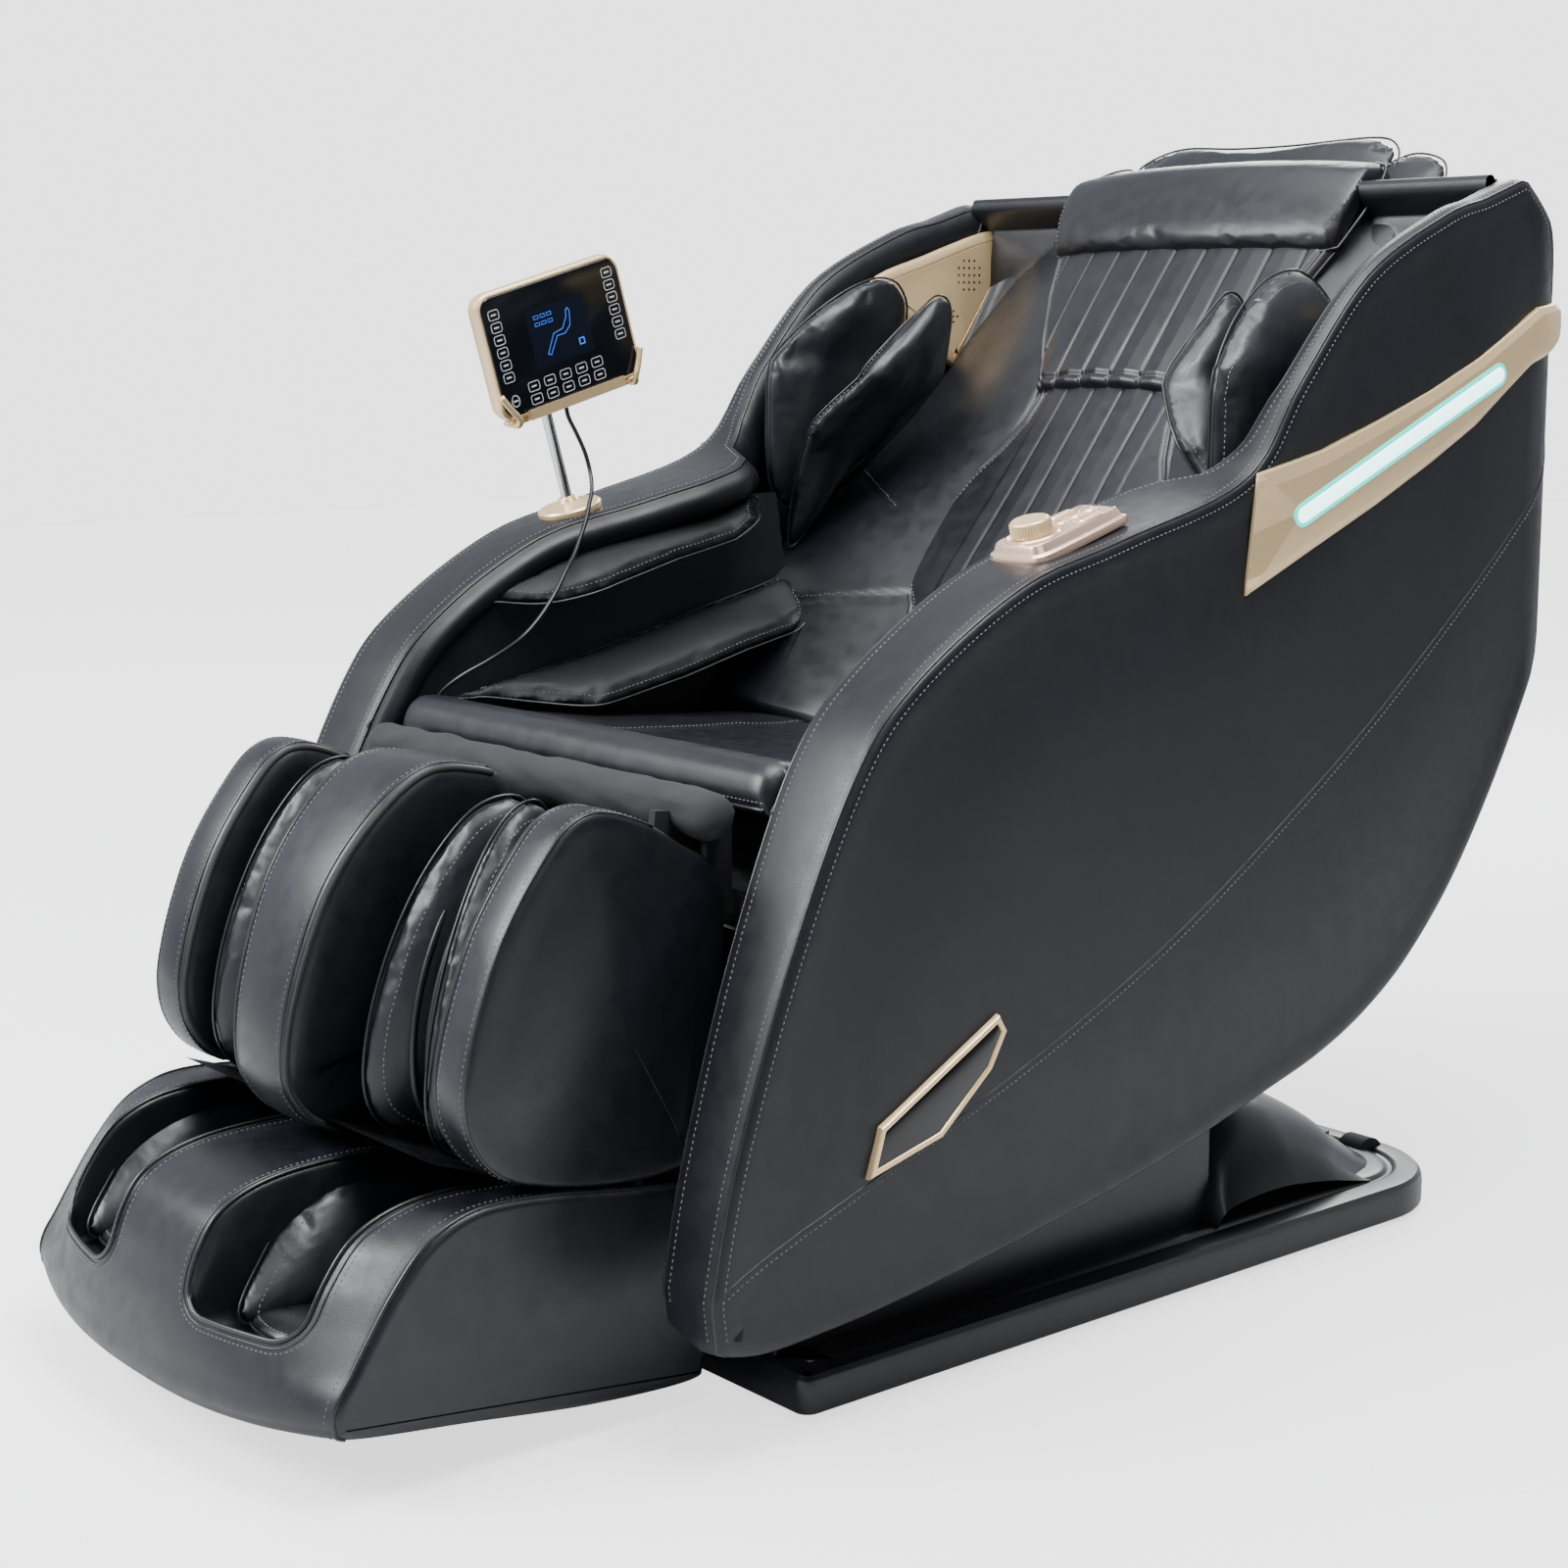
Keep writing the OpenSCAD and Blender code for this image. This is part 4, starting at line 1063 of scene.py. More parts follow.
CHEEK_LINE = [(-522, 493), (-567, 508), (-600, 499), (-633, 463), (-661, 421), (-680, 378),
              (-694, 334), (-700, 297), (-693, 262), (-668, 232), (-620, 214), (-554, 203),
              (-498, 203), (-470, 222), (-455, 300), (-446, 390), (-446, 430), (-462, 456),
              (-486, 470)]
LOBE_LINE = [(-560, 520), (-606, 520), (-655, 486), (-698, 430), (-728, 352), (-738, 290),
             (-728, 254), (-700, 228), (-640, 208), (-568, 196), (-520, 200), (-505, 300),
             (-500, 420), (-520, 500)]


def face_run(line, normal, low, rear):
    """The stations of a calf outline on its top and front, above low and ahead of rear."""
    keep = [i for i, q in enumerate(line) if q[1] > low and q[0] < rear and normal[i][0] > -0.5]
    gaps = np.diff(keep)
    start = int(np.argmax(gaps)) + 1 if gaps.max() > 1 else 0
    return keep[start:] + keep[:start]


def make_calf_cheeks():
    outline = spline(CHEEK_LINE, 6, closed=True)
    profile = [(206, 52), (203, 34), (201.5, 22), (202.5, 12), (206, 4), (210, 0.8), (214, 0),
               (226, -1.2), (238, -1.3), (249, -0.6), (252.5, 0.4), (254.6, 2.4), (255.8, 6),
               (256.6, 14), (257.4, 28)]
    cheek, line, normal = pebble("calf_cheek_left", outline, profile, -4, 9, LEATHER, "legrest")
    run = face_run(line, normal, 226, -500)
    parts = []
    for tag, x, step in (("inner", 212.5, 5), ("outer", 253.5, -5)):
        parts.append(welt("calf_%s_welt_left" % tag, cheek, [(x, *line[i]) for i in run], 1.5,
                          "legrest"))
        parts.append(stitches("calf_%s_stitch_left" % tag, cheek,
                              [(x + step, *line[i]) for i in run], "legrest"))
    lip = [(205, *(line[i] + normal[i] * 3)) for i in run]
    parts.append(welt("calf_lip_left", cheek, lip, 2.6, "legrest", mat=MESH_CLOTH))
    both(*parts)
    both(cheek)[0]
    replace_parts(cheek, "calf_body")


def make_calf_lobe():
    def half(q):
        return float(np.interp(q[1], [215, 290, 430, 515], [37, 41, 48, 54]))
    line = resample(spline(LOBE_LINE, 6, closed=True), 150, True)
    if signed_area(line) < 0:
        line = line[::-1]
    normal = inward(line)
    stations = [(-1.06, 75), (-1.1, 40), (-1.12, 24), (-1.1, 12), (-1.04, 4), (-0.95, 0.8),
                (-0.86, 0), (-0.4, -2), (0, -2.6)]
    stations += [(-a, d) for a, d in stations[-2::-1]]
    rows = [[(a * half(q), *(q + n * d)) for a, d in stations] for q, n in zip(line, normal)]
    lobe = piece("calf_lobe", np.array(rows).reshape(-1, 3),
                 grid_faces(len(rows), len(stations), wrap_rows=True), LEATHER, "legrest")
    run = face_run(line, normal, 222, -505)
    for side, tag in SIDES:
        path = [(side * 0.9 * half(line[i]), *line[i]) for i in run]
        welt("lobe_welt_" + tag, lobe, path, 1.5, "legrest")
        stitches("lobe_stitch_" + tag, lobe, [(x - side * 5, y, z) for x, y, z in path], "legrest")
        ribbon = [(side * 1.06 * half(line[i]), *(line[i] + normal[i] * 3)) for i in run]
        welt("lobe_lip_" + tag, lobe, ribbon, 2.8, "legrest", mat=MESH_CLOTH)


def make_calf_wells():
    floor_line = [(-490, 462), (-530, 462), (-566, 444), (-590, 404), (-602, 350), (-604, 280),
                  (-596, 226), (-560, 208)]
    path = spline(floor_line, 5)
    verts = [(x, *q) for x in np.linspace(-208, 208, 41) for q in path]
    piece("calf_well_floor", verts, grid_faces(41, len(path)), LEATHER_SOFT, "legrest")
    under = [(x, y, z) for x in (-206, 206)
             for y, z in ((-700, 238), (-640, 216), (-500, 214), (-480, 300))]
    piece("calf_underside", under, grid_faces(2, 4), LEATHER_SOFT, "legrest")
    pad_line = [(-560, 500), (-596, 494), (-634, 452), (-666, 392), (-688, 322), (-692, 262),
                (-668, 228), (-612, 220), (-580, 300), (-562, 400), (-545, 468)]
    outline = spline(pad_line, 6, closed=True)
    for tag, x, lean in (("near", 84, 0.28), ("far", 172, -0.22)):
        bag = paired(padded_leaf("calf_bag_%s_left" % tag, outline,
                                 lambda u, v, h: (x + lean * (u + 680) + h, u + 8, v),
                                 46, 7, "legrest", 1.5, mat=LEATHER))
        if tag == "near":
            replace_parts(bag, "calf_airbags")
    make_hinge_sleeve()
    slot_line = [(-556, 474), (-606, 440), (-640, 384), (-658, 320), (-656, 262), (-630, 230)]
    for x, name in ((116, "a"), (140, "b")):
        both(tube("calf_slot_%s_left" % name, spline([(x, *q) for q in slot_line], 8), 3.2,
                  LEATHER, "legrest"))


def make_hinge_sleeve():
    """A loose cloth sleeve round the leg rest's axis, closing to rounded tips."""
    stations, sides = 120, 28
    verts = []
    for x in np.linspace(-267, 267, stations):
        tip = math.sqrt(max(1 - (max(abs(x) - 244, 0) / 23.5) ** 2, 0.01))
        for k in range(sides):
            a = 2 * math.pi * k / sides
            spot = Vector((x * 0.03, 2 * math.cos(a), 2 * math.sin(a)))
            r = 20.5 * tip + 2.2 * tip * noise.noise(spot)
            verts.append((x, LIFT_AXIS[0] + r * math.cos(a), LIFT_AXIS[1] + r * math.sin(a)))
    faces = grid_faces(stations, sides, wrap_columns=True)
    faces += [tuple(range(sides)), tuple(range(len(verts) - sides, len(verts)))]
    piece("hinge_sleeve", verts, faces, MESH_CLOTH, "legrest")


make_calf_cheeks()
make_calf_lobe()
make_calf_wells()


# ---------------------------------------------------------------- foot unit

FOOT_SIDE = [(-470, 60), (-473, 30), (-489, 19), (-588, 25), (-700, 41), (-806, 57), (-821, 70),
             (-818, 88), (-804, 108), (-787, 133), (-766, 162), (-739, 191), (-710, 207),
             (-677, 213), (-622, 209), (-546, 197), (-482, 190)]
FOOT_MID = [(-470, 60), (-473, 30), (-489, 19), (-588, 25), (-700, 36), (-838, 42), (-861, 52),
            (-860, 76), (-854, 104), (-846, 130), (-834, 162), (-815, 188), (-778, 204),
            (-722, 210), (-640, 208), (-560, 198), (-482, 190)]
FOOT_HALF = 258
FOOT_ROUND = 7
# how long the foot's skin is along its profile, and each well: centre x, first and last row
FOOT_RUN = 520
WELL_X = 134
WELL_ROW = 8.55 / 16
WELL_END = 15.2 / 16
WELL_REACH = (WELL_END - WELL_ROW) * FOOT_RUN
foot_lines = (spline(FOOT_SIDE, 8), spline(FOOT_MID, 8))


def foot_point(x, row):
    """A point of the foot unit's skin, row counted along its profile from 0 to 1."""
    w = 1 - min(abs(x) / FOOT_HALF, 1) ** 2.4
    line = foot_lines[0] * (1 - w) + foot_lines[1] * w
    k = row * (len(line) - 1)
    i = min(int(k), len(line) - 2)
    return line[i] + (line[i + 1] - line[i]) * (k - i)


def well_gap(x, row):
    """Signed distance (mm) outside a foot well's rounded opening, in its unrolled plane."""
    along = (row - WELL_ROW) * FOOT_RUN
    r = 26
    u = abs(abs(x) - WELL_X) - 64 + r
    v = abs(along - WELL_REACH / 2) - WELL_REACH / 2 + r
    return math.hypot(max(u, 0), max(v, 0)) + min(max(u, v), 0) - r


def well_ring(side, gap):
    """Points on the foot's skin at one distance round a well's opening."""
    ring = []
    for a in np.linspace(0, 2 * math.pi, 160, endpoint=False):
        def spot(reach):
            row = WELL_ROW + (WELL_REACH / 2 + reach * math.sin(a)) / FOOT_RUN
            return side * WELL_X + reach * math.cos(a), row
        lo, hi = 0.0, 260.0
        for _ in range(18):
            mid = (lo + hi) / 2
            if well_gap(*spot(mid)) < gap:
                lo = mid
            else:
                hi = mid
        x, row = spot(lo)
        ring.append((x, *foot_point(x, min(row, 0.985))))
    return ring


def make_foot():
    # columns: even, then closer at the wells' sides and round the outer edges
    close = [*np.linspace(60, 80, 9), *np.linspace(190, 210, 9)]
    close += [FOOT_HALF - FOOT_ROUND + FOOT_ROUND * math.sin(math.pi / 2 * k / 8)
              for k in range(1, 8)]
    xs = sorted({*np.linspace(-FOOT_HALF, FOOT_HALF, 130), *close, *(-x for x in close)})
    rows = np.linspace(0, 1, 150)
    verts = []
    for x in xs:
        rim = max(abs(x) - (FOOT_HALF - FOOT_ROUND), 0) / FOOT_ROUND
        fall = FOOT_ROUND * (1 - math.sqrt(max(1 - rim * rim, 0)))
        for row in rows:
            y, z = foot_point(x, row)
            ahead = foot_point(x, min(row + 0.01, 1)) - foot_point(x, max(row - 0.01, 0))
            n = np.array((ahead[1], -ahead[0])) / (np.linalg.norm(ahead) + 1e-9)
            y, z = np.array((y, z)) + n * fall
            inside = 1 - smoothstep(well_gap(x, row), -7, 1)
            floor_z = float(np.interp(y, [-830, -800, -700, -520], [99, 94, 80, 76]))
            verts.append((x, y, z + (min(floor_z, z) - z) * inside))
    faces = grid_faces(len(xs), len(rows))
    n = len(rows)
    for i in (0, len(xs) - 1):
        faces.append(tuple(range(i * n, (i + 1) * n)))
    foot = piece("foot_cushion", verts, faces, LEATHER, "foot_unit")
    for face in foot.data.polygons:
        if len(face.vertices) > 10:
            face.use_smooth = False
    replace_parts(foot, "foot_body")
    for side, tag in SIDES:
        edge, inner = ([(side * x, *foot_point(x, r)) for r in np.linspace(0.32, 0.99, 110)]
                       for x in (254, 246))
        welt("foot_edge_welt_" + tag, foot, edge, 1.7, "foot_unit", sink=-0.2)
        stitches("foot_edge_stitch_" + tag, foot, inner, "foot_unit")
        welt("well_rim_" + tag, foot, well_ring(side, 3), 2.2, "foot_unit", True, -0.3)
        welt("well_ribbon_" + tag, foot, well_ring(side, 10), 1.2, "foot_unit", True)
        ring = well_ring(side, 15)
        stitches("well_stitch_" + tag, foot, ring + ring[:1], "foot_unit")


def make_foot_pads():
    wall = spline([(-812, 108), (-780, 150), (-735, 186), (-680, 200), (-560, 196), (-545, 110),
                   (-640, 98), (-760, 98)], 6, closed=True)
    for tag, x, lean in (("inner", 84, 0.42), ("outer", 186, -0.42)):
        paired(padded_leaf("foot_bag_%s_left" % tag, wall,
                           lambda u, v, h: (x + lean * (128 - v) + h, u, v - 2),
                           40, 6, "foot_unit", 1.3, mat=LEATHER))
    toe = spline([(88, -800), (134, -812), (180, -800), (190, -770), (180, -735), (134, -725),
                  (88, -735), (78, -770)], 6, closed=True)
    paired(padded_leaf("toe_pad_left", toe, lambda u, v, h: (u, v, 102 - 0.1 * (v + 800) + h),
                       26, 5, "foot_unit", 1.3))
    sole = spline([(80, -730), (134, -736), (188, -730), (194, -640), (188, -550), (80, -550),
                   (74, -640)], 6, closed=True)
    paired(padded_leaf("sole_pad_left", sole, lambda u, v, h: (u, v, 92 + h), 22, 5, "foot_unit",
                       1.3))


make_foot()
make_foot_pads()


# ---------------------------------------------------------------- hard trim

def plate(name, outline, place, levels, mat, body="shell"):
    """A solid raised from an outline through (inset, height) levels and closed on top."""
    line = np.array(outline, float)
    if signed_area(line) < 0:
        line = line[::-1]
    n = len(line)
    verts = [place(*q, h) for inset, h in levels for q in mitred(line, inset)]
    faces = grid_faces(len(levels), n, wrap_columns=True)
    faces += [tuple(range(n)), tuple(range(len(verts) - n, len(verts)))]
    obj = piece(name, verts, faces, mat, body)
    obj.data.set_sharp_from_angle(angle=math.radians(30))
    return obj


def rounded_box(w, h, r, steps=7):
    """The outline of a rounded rectangle about the origin."""
    out = []
    for cx, cy, a0 in ((w / 2 - r, h / 2 - r, 0), (r - w / 2, h / 2 - r, 90),
                       (r - w / 2, r - h / 2, 180), (w / 2 - r, r - h / 2, 270)):
        for k in range(steps):
            a = math.radians(a0 + 90 * k / (steps - 1))
            out.append((cx + r * math.cos(a), cy + r * math.sin(a)))
    return out


def ellipse(cx, cy, rx, ry, count):
    return [(cx + rx * math.cos(a), cy + ry * math.sin(a))
            for a in np.linspace(0, 2 * math.pi, count + 1)[:-1]]


TRIM_LOW = [(22, 646), (100, 678), (194, 716), (270, 750), (335, 782), (380, 812), (420, 838),
            (470, 853), (520, 861), (566, 868)]
TRIM_HIGH = [(36, 751), (120, 768), (194, 791), (270, 817), (340, 845), (396, 873), (430, 891),
             (470, 895), (520, 889), (566, 874)]
LED_ENDS = ((87, 713), (362, 829))
# how far along the trim the ridge of its three-sided nose facet starts
NOSE = 0.105


def on_side(stand):
    """A placing function for (y, z, height) on the shell's outer side, stand mm proud of it."""
    def place(u, v, h):
        return round_corner([(HALF_W + stand + h, u, v)], stand + h)[0]
    return place


def pill(a, b, w, steps=9):
    """The outline of a bar of width w with round ends at a and b."""
    lean = math.atan2(b[1] - a[1], b[0] - a[0])
    out = []
    for end, start in ((a, 90), (b, -90)):
        for k in range(steps):
            t = lean + math.radians(start + 180 * k / (steps - 1))
            out.append((end[0] + w / 2 * math.cos(t), end[1] + w / 2 * math.sin(t)))
    return out


def make_trims():
    count = 400
    low, high = resample(TRIM_LOW, count), resample(TRIM_HIGH, count)
    section = [(0, 0.5), (0, 4), (0.015, 5.6), (0.05, 7), (0.12, 8.8), (0.2, 9.8), (0.35, 10.4),
               (0.5, 10.6), (0.65, 10.5), (0.8, 10.1), (0.86, 9.8), (0.93, 7.4), (0.985, 5.4),
               (1, 4), (1, 0.5)]
    # rows: the front edge twice with its height capped, then from the nose's ridge to the rear
    rows = [(-2, 0.5), (-1, 3.0)] + [(k / 89, 99) for k in range(90)]
    verts = []
    for t, cap in rows:
        for f, h in section:
            ridge = NOSE * (1 - abs(2 * f - 1))
            at = 0 if t < 0 else ridge + (1 - ridge) * t
            i = at * (count - 1)
            q, r = (line[int(i)] + (line[min(int(i) + 1, count - 1)] - line[int(i)]) * (i % 1)
                    for line in (low, high))
            taper = float(smoothstep(1 - at, -0.01, 0.15))
            rise = 0.5 + (h - 0.5) * (0.35 + 0.65 * taper)
            verts.append(on_side(0)(*(q + (r - q) * f), min(rise, cap)))
    n, m = len(section), len(rows)
    faces = grid_faces(m, n) + [tuple(range(n)), tuple(range((m - 1) * n, m * n))]
    trim = piece("side_trim_left", verts, faces, GOLD)
    trim.data.set_sharp_from_angle(angle=math.radians(7.5))
    glow = plate("led_bar_left", pill(*LED_ENDS, 15), on_side(8.2),
                 [(0, 1), (0, 2.8), (1.4, 4), (3, 4.4)], LED)
    # the wider teal ring is painted glow, the LED's light round the bar given as emission
    ring = plate("led_edge_left", pill(*LED_ENDS, 22), on_side(8.2),
                 [(0, 1), (0, 2.6), (0.6, 3.0)], LED_PAINTED_GLOW)
    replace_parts(trim, "side_trims")
    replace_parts(glow, "led_strips")
    both(trim, glow, ring)


BADGE_LINE = [(-403, 253), (-416, 212), (-337, 232), (-282, 279), (-265, 309), (-274, 324)]


def make_badges():
    bezel = plate("badge_bezel_left", BADGE_LINE, on_side(0),
                  [(0, 1), (0.4, 7), (1.4, 8.6), (3.4, 9), (5, 8.6), (6, 6.5)], GOLD)
    insert = plate("badge_insert_left", mitred(BADGE_LINE, 5.5), on_side(0),
                   [(0, 5), (0.2, 7.2), (1.5, 7.8)], BADGE)
    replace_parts(bezel, "badge_bezels")
    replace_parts(insert, "badge_inserts")
    both(bezel, insert)


def make_speakers():
    outline = resample(spline([(238, 922), (277, 880), (350, 834), (368, 840), (444, 948),
                               (446, 962), (432, 976), (408, 978), (320, 952)], 5, closed=True),
                       90, True)

    def inner_side(u, v, h):
        return np.array((346 - h, u, v))
    shell = plate("speaker_panel_left", outline, inner_side,
                  [(0, 0), (0, 5), (1.5, 8), (4, 9.6), (8, 11), (9, 11.2), (9.4, 10.4),
                   (10.4, 10.4), (10.9, 11.2), (12, 11.4)], GOLD)
    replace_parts(shell, "speaker_panels")
    both(shell)
    # two diamonds of small holes, drawn as flat black discs: the dark speaker behind them with the
    # shade inside each hole painted in; centre y, centre z, pitch, reach
    verts, faces = [], []
    for cy, cz, pitch, reach in ((378, 930, 8, 4), (348, 884, 6, 3)):
        for i in range(-2, 3):
            for j in range(-2, 3):
                if abs(i) + abs(j) < reach:
                    faces.append(tuple(range(len(verts), len(verts) + 8)))
                    verts += [inner_side(*q, 11.7)
                              for q in ellipse(cy + i * pitch, cz + j * pitch, 1.4, 1.4, 8)]
    both(piece("speaker_holes_left", verts, faces, BADGE, smooth=False))


make_trims()
make_badges()
make_speakers()


# ---------------------------------------------------------------- arm controls and tablet

# centre u, centre v, width, depth, corner radius
BUTTONS = ((0, 4, 11, 11, 5.4), (0, 21, 11, 11, 5.4), (0, 38, 13, 13, 6.4), (-17, 21, 8, 26, 3.9),
           (17, 21, 8, 26, 3.9))
KNOB_V = -29


def on_plate(u, v, h):
    return on_arm(PLATE_AT, u, v, h)


def make_controls():
    outline = [(-20, -57), (20, -57), (29, -49), (31, -38), (30, -4), (26, 50), (19, 57), (-19, 57),
               (-26, 50), (-30, -4), (-31, -38), (-29, -49)]
    outline = resample(spline(outline, 5, closed=True), 84, True)
    base = plate("control_plate_skin", outline, on_plate,
                 [(-1.5, -1), (-1.8, 2), (-1.2, 5), (0.6, 6.4), (2.2, 6.8), (2.6, 7.6), (3.8, 11),
                  (5.2, 13.4), (6.4, 14), (8, 14.1)], GOLD_BRIGHT)
    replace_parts(base, "control_plate")
    for i, (x, y, w, d, r) in enumerate(BUTTONS):
        ring = [(x + a, y + b) for a, b in rounded_box(w + 4, d + 4, r + 1.8)]
        plate("button_seat_%d" % (i + 1), ring, on_plate,
              [(0, 13.6), (0, 14.5), (0.8, 14.8), (1.8, 14.3)], GOLD)
        cap = [(x + a, y + b) for a, b in rounded_box(w, d, min(r, w / 2 - 0.2))]
        button = plate("button_cap_%d" % (i + 1), cap, on_plate,
                       [(0, 13), (0, 14.9), (0.8, 15.7), (2.2, 16.1)], GOLD_BRIGHT,
                       "button_%d" % (i + 1))
        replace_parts(button, "control_button_%d" % (i + 1))
    plate("knob_collar", ellipse(0, KNOB_V, 24, 24, 47), on_plate,
          [(0, 13.5), (0.2, 14.8), (2.5, 16), (5, 15.2)], GOLD_BRIGHT)
    make_knob()


def make_knob():
    """A knurled cap, its 48 ribs on the levels between the skirt and the rounded top."""
    verts, count = [], 144
    levels = ((15.0, 1), (14.8, 0), (15.6, 1), (26.8, 1), (28.4, 0.0), (29, -0.9), (29.2, -2.4),
              (28.8, -4), (28.8, -11))
    for h, out in levels:
        for k in range(count):
            a = 2 * math.pi * k / count
            rib = 0.55 * math.cos(a * 48) if 15 < h < 28 and out == 1 else 0
            r = 16.4 + out + rib
            verts.append(on_plate(r * math.cos(a), KNOB_V + r * math.sin(a), h))
    faces = grid_faces(len(levels), count, wrap_columns=True)
    faces += [tuple(range(count)), tuple(range(len(verts) - count, len(verts)))]
    knob = piece("knob_cap", verts, faces, GOLD, "knob")
    knob.data.set_sharp_from_angle(angle=math.radians(40))
    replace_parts(knob, "control_knob")


TABLET_V = 17


def on_tablet(u, v, h):
    """u to the tablet's left, v up its face, h out of its glass."""
    return on_arm(FLANGE_AT, 33.2 + h, TABLET_V + u, POLE_TOP + 65.7 + v)


def flat_shapes(name, outlines, height, mat):
    """Thin shapes drawn on the glass from (outline, line width); width 0 fills the outline."""
    verts, faces = [], []
    for line, width in outlines:
        first, n = len(verts), len(line)
        verts += [on_tablet(*q, height) for q in line]
        if width:
            verts += [on_tablet(*q, height) for q in mitred(line, width)]
            faces += [(first + k, first + (k + 1) % n, first + n + (k + 1) % n, first + n + k)
                      for k in range(n)]
        else:
            faces.append(tuple(range(first, first + n)))
    return piece(name, verts, faces, mat, "tablet", smooth=False)


def make_tablet():
    case = plate("tablet_shell", rounded_box(177, 127, 17), on_tablet,
                 [(5, -20), (1.5, -18), (0, -14), (-0.6, -8), (0, -2.4), (1.6, -0.4), (3.2, 0.2),
                  (4.2, -0.6)], GOLD, "tablet")
    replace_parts(case, "tablet_case")
    glass = plate("tablet_front", rounded_box(168.6, 118.6, 13), on_tablet,
                  [(0, -1), (0, 0.4), (0.5, 0.8)], GLASS, "tablet")
    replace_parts(glass, "tablet_glass")
    keys = []

    def key(u, v, w=13):
        keys.append(([(u + a, v + b) for a, b in rounded_box(w, 10, 2.6, 4)], 0.7))
    for k in range(6):
        key(-71, 42 - 12.6 * k)
        key(71, 46 - 12.6 * k)
    for v in (-37, -50):
        for k in range(5):
            key(-45 + 20 * k, v + 0.3 * k, 14)
    keys.append((ellipse(-70, -45, 5, 6, 24), 0.9))
    marks = [([np.mean(line, 0) + q for q in ((-3, -0.8), (3, -0.8), (3, 0.8), (-3, 0.8))], 0)
             for line, _ in keys]
    flat_shapes("tablet_keys", keys, 0.95, PRINT)
    flat_shapes("tablet_marks", marks, 0.95, PRINT)
    window = [(a, 6 + b) for a, b in rounded_box(72, 58, 1, 3)]
    flat_shapes("tablet_window", [(window, 0)], 0.92, SCREEN_DIM)
    glyphs = []
    for i in range(3):
        for j in range(2):
            left, top = 8 * i - 27, 28 - 7 * j
            glyphs.append(([(left, top), (left + 6, top), (left + 6, top - 3.5),
                            (left, top - 3.5)], 0.5))
    figure = [(12, 24), (15, 26), (17, 22), (14, 8), (6, 2), (-4, 2), (-16, -14), (-20, -12),
              (-8, 6), (4, 8), (11, 18)]
    glyphs.append((figure, 0.7))
    glyphs.append(([(20, -14), (27, -14), (27, -7), (20, -7)], 1.2))
    flat_shapes("tablet_glyphs", glyphs, 1.05, SCREEN_BLUE)


def make_stand():
    flange = plate("tablet_foot", ellipse(0, 0, 33, 33, 63),
                   lambda u, v, h: on_arm(FLANGE_AT, u, v, h),
                   [(0.8, -1), (0, 1), (0, 5), (1.5, 6.6), (3, 7), (22, 11), (24, 15), (26.4, 16)],
                   GOLD)
    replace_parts(flange, "tablet_flange")
    for side in (-1, 1):
        u = TABLET_V + side * 74
        rail = spline([(13, u, POLE_TOP - 1), (34, u, POLE_TOP - 3), (39, u, POLE_TOP + 4),
                       (39, u + side * 6, POLE_TOP + 14), (38, u + side * 14, POLE_TOP + 30)], 5)
        tube("tablet_hook_%d" % (side + 1), [on_arm(FLANGE_AT, *q) for q in rail], 3.2, GOLD,
             "tablet", sides=10)
    for tag, ends in (("a", (-60, -18)), ("b", (20, 94))):
        bar = [on_arm(FLANGE_AT, 26, v, POLE_TOP - 1) for v in np.linspace(*ends, 6)]
        tube("tablet_rail_" + tag, bar, 3.4, GOLD, "tablet", sides=10)


make_controls()
make_tablet()
make_stand()


# ---------------------------------------------------------------- base cover

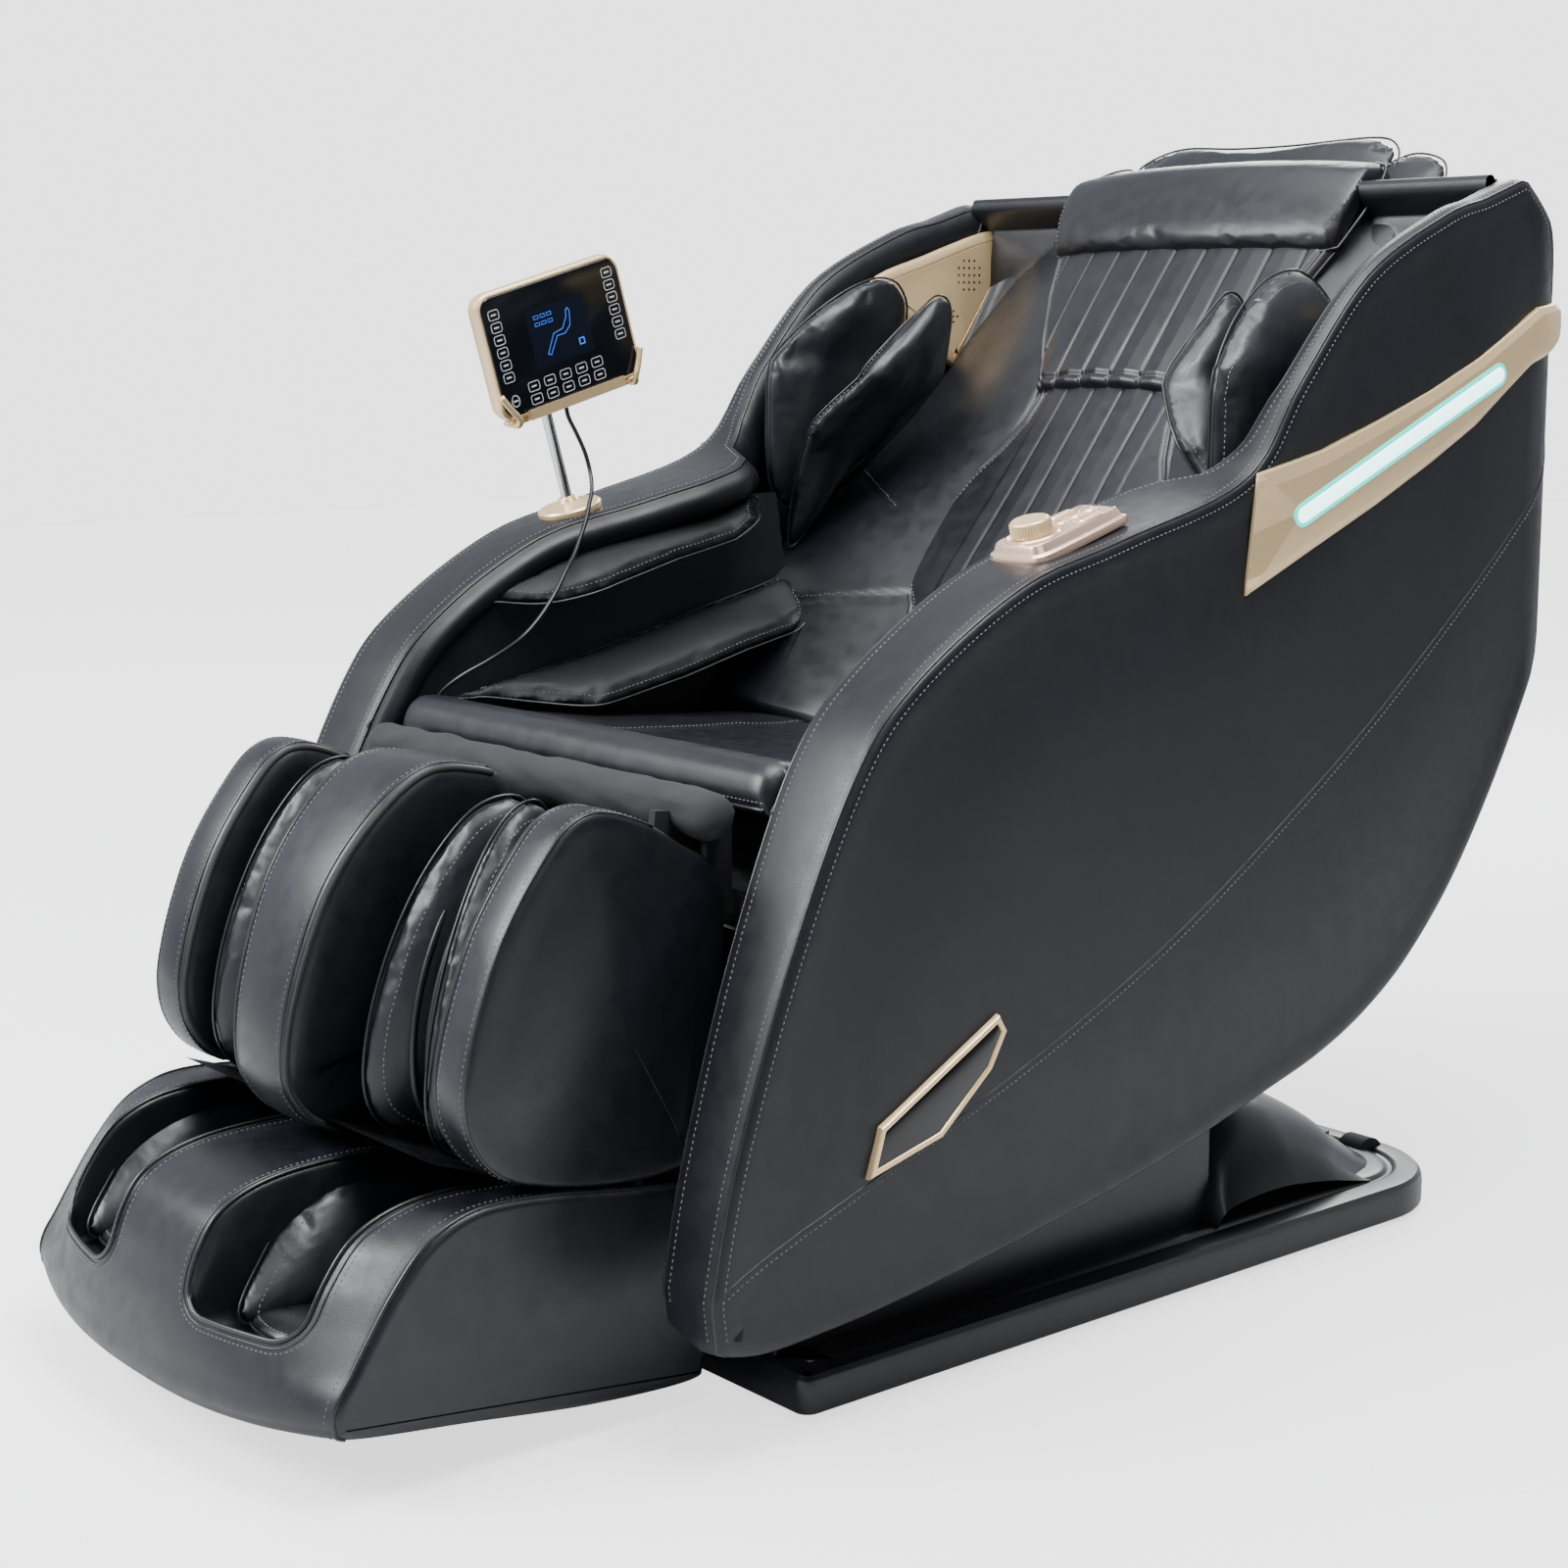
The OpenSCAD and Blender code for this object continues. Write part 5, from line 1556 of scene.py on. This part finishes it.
def make_base_cover():
    outline = []
    for x, y, r, start in ((350, -443, 14, 270), (350, 430, 110, 0), (-350, 430, 110, 90),
                           (-350, -443, 14, 180)):
        cx, cy = x - math.copysign(r, x), y - math.copysign(r, y)
        outline += [(cx + r * math.cos(math.radians(a)), cy + r * math.sin(math.radians(a)))
                    for a in range(start, start + 91, 6)]
    skirt = plate("base_skirt", outline, lambda u, v, h: (u, v, h),
                  [(1.5, 5), (0, 7), (0, 28), (1.5, 34), (5, 37.4), (24, 38.6), (27, 38),
                   (30, 35.4), (34, 35), (37, 37.6), (40, 39), (46, 39.6)],
                  BASE_BLACK, "base")
    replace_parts(skirt, "base_cover")
    tail = spline([(92, 36), (104, 110), (130, 148), (178, 162), (236, 143), (312, 109), (360, 77),
                   (402, 50), (424, 39)], 6)
    # the hump narrows to the sides and stays inside the base's rounded rear corners
    verts, stations, rim_z = [], 81, 36
    for x in np.linspace(-316, 316, stations):
        scale = (1 - (abs(x) / 318) ** 5) ** 0.5
        limit = 320 + math.sqrt(max(58 ** 2 - max(abs(x) - 240, 0) ** 2, 0))
        for y, z in tail:
            back = min(y, 200 + (y - 200) * (limit - 200) / 224) if y > 200 else y
            verts.append((x, back, rim_z + (z - rim_z) * scale))
    piece("base_hump", verts, grid_faces(stations, len(tail)), BASE_BLACK, "base")
    wall = [(-430, 36), (-430, 72), (-290, 98), (-170, 118), (-50, 142), (60, 162), (104, 152),
            (104, 36)]
    for side, tag in SIDES:
        plate("base_wall_" + tag, wall, lambda u, v, h: (side * (286 + h), u, v),
              [(0, 0), (0, 7), (2, 9)], BASE_BLACK, "base")


make_base_cover()


# ---------------------------------------------------------------- materials of the plain CAD parts

PLAIN = {
    # legrest_pins are steel; they take the dark painted finish as painted shade, so they do not
    # show bright
    PAINTED: ["base_frame", "seat_frame", "legrest_frame", "carriage_frame", "legrest_pins"],
    STEEL: ["tilt_pins", "lead_screw", "tilt_rod", "roller_arm_left",
            "roller_arm_right", "guide_rails"],
    CHROME: ["foot_rails", "tablet_pole"],
    RUBBER: ["rubber_feet", "transport_wheel_left", "transport_wheel_right"],
    GREY_PLASTIC: ["control_box", "tilt_actuator", "air_pump", "carriage_motor"],
    BASE_BLACK: ["power_inlet"],
    ROLLER_TAN: ["roller_upper_left", "roller_upper_right", "roller_lower_left",
                 "roller_lower_right", "sole_roller"],
    RED: ["power_switch"],
    GOLD: ["tablet_cradle"],
}
for mat, names in PLAIN.items():
    for name in names:
        nodes[name].data.materials.clear()
        nodes[name].data.materials.append(mat)
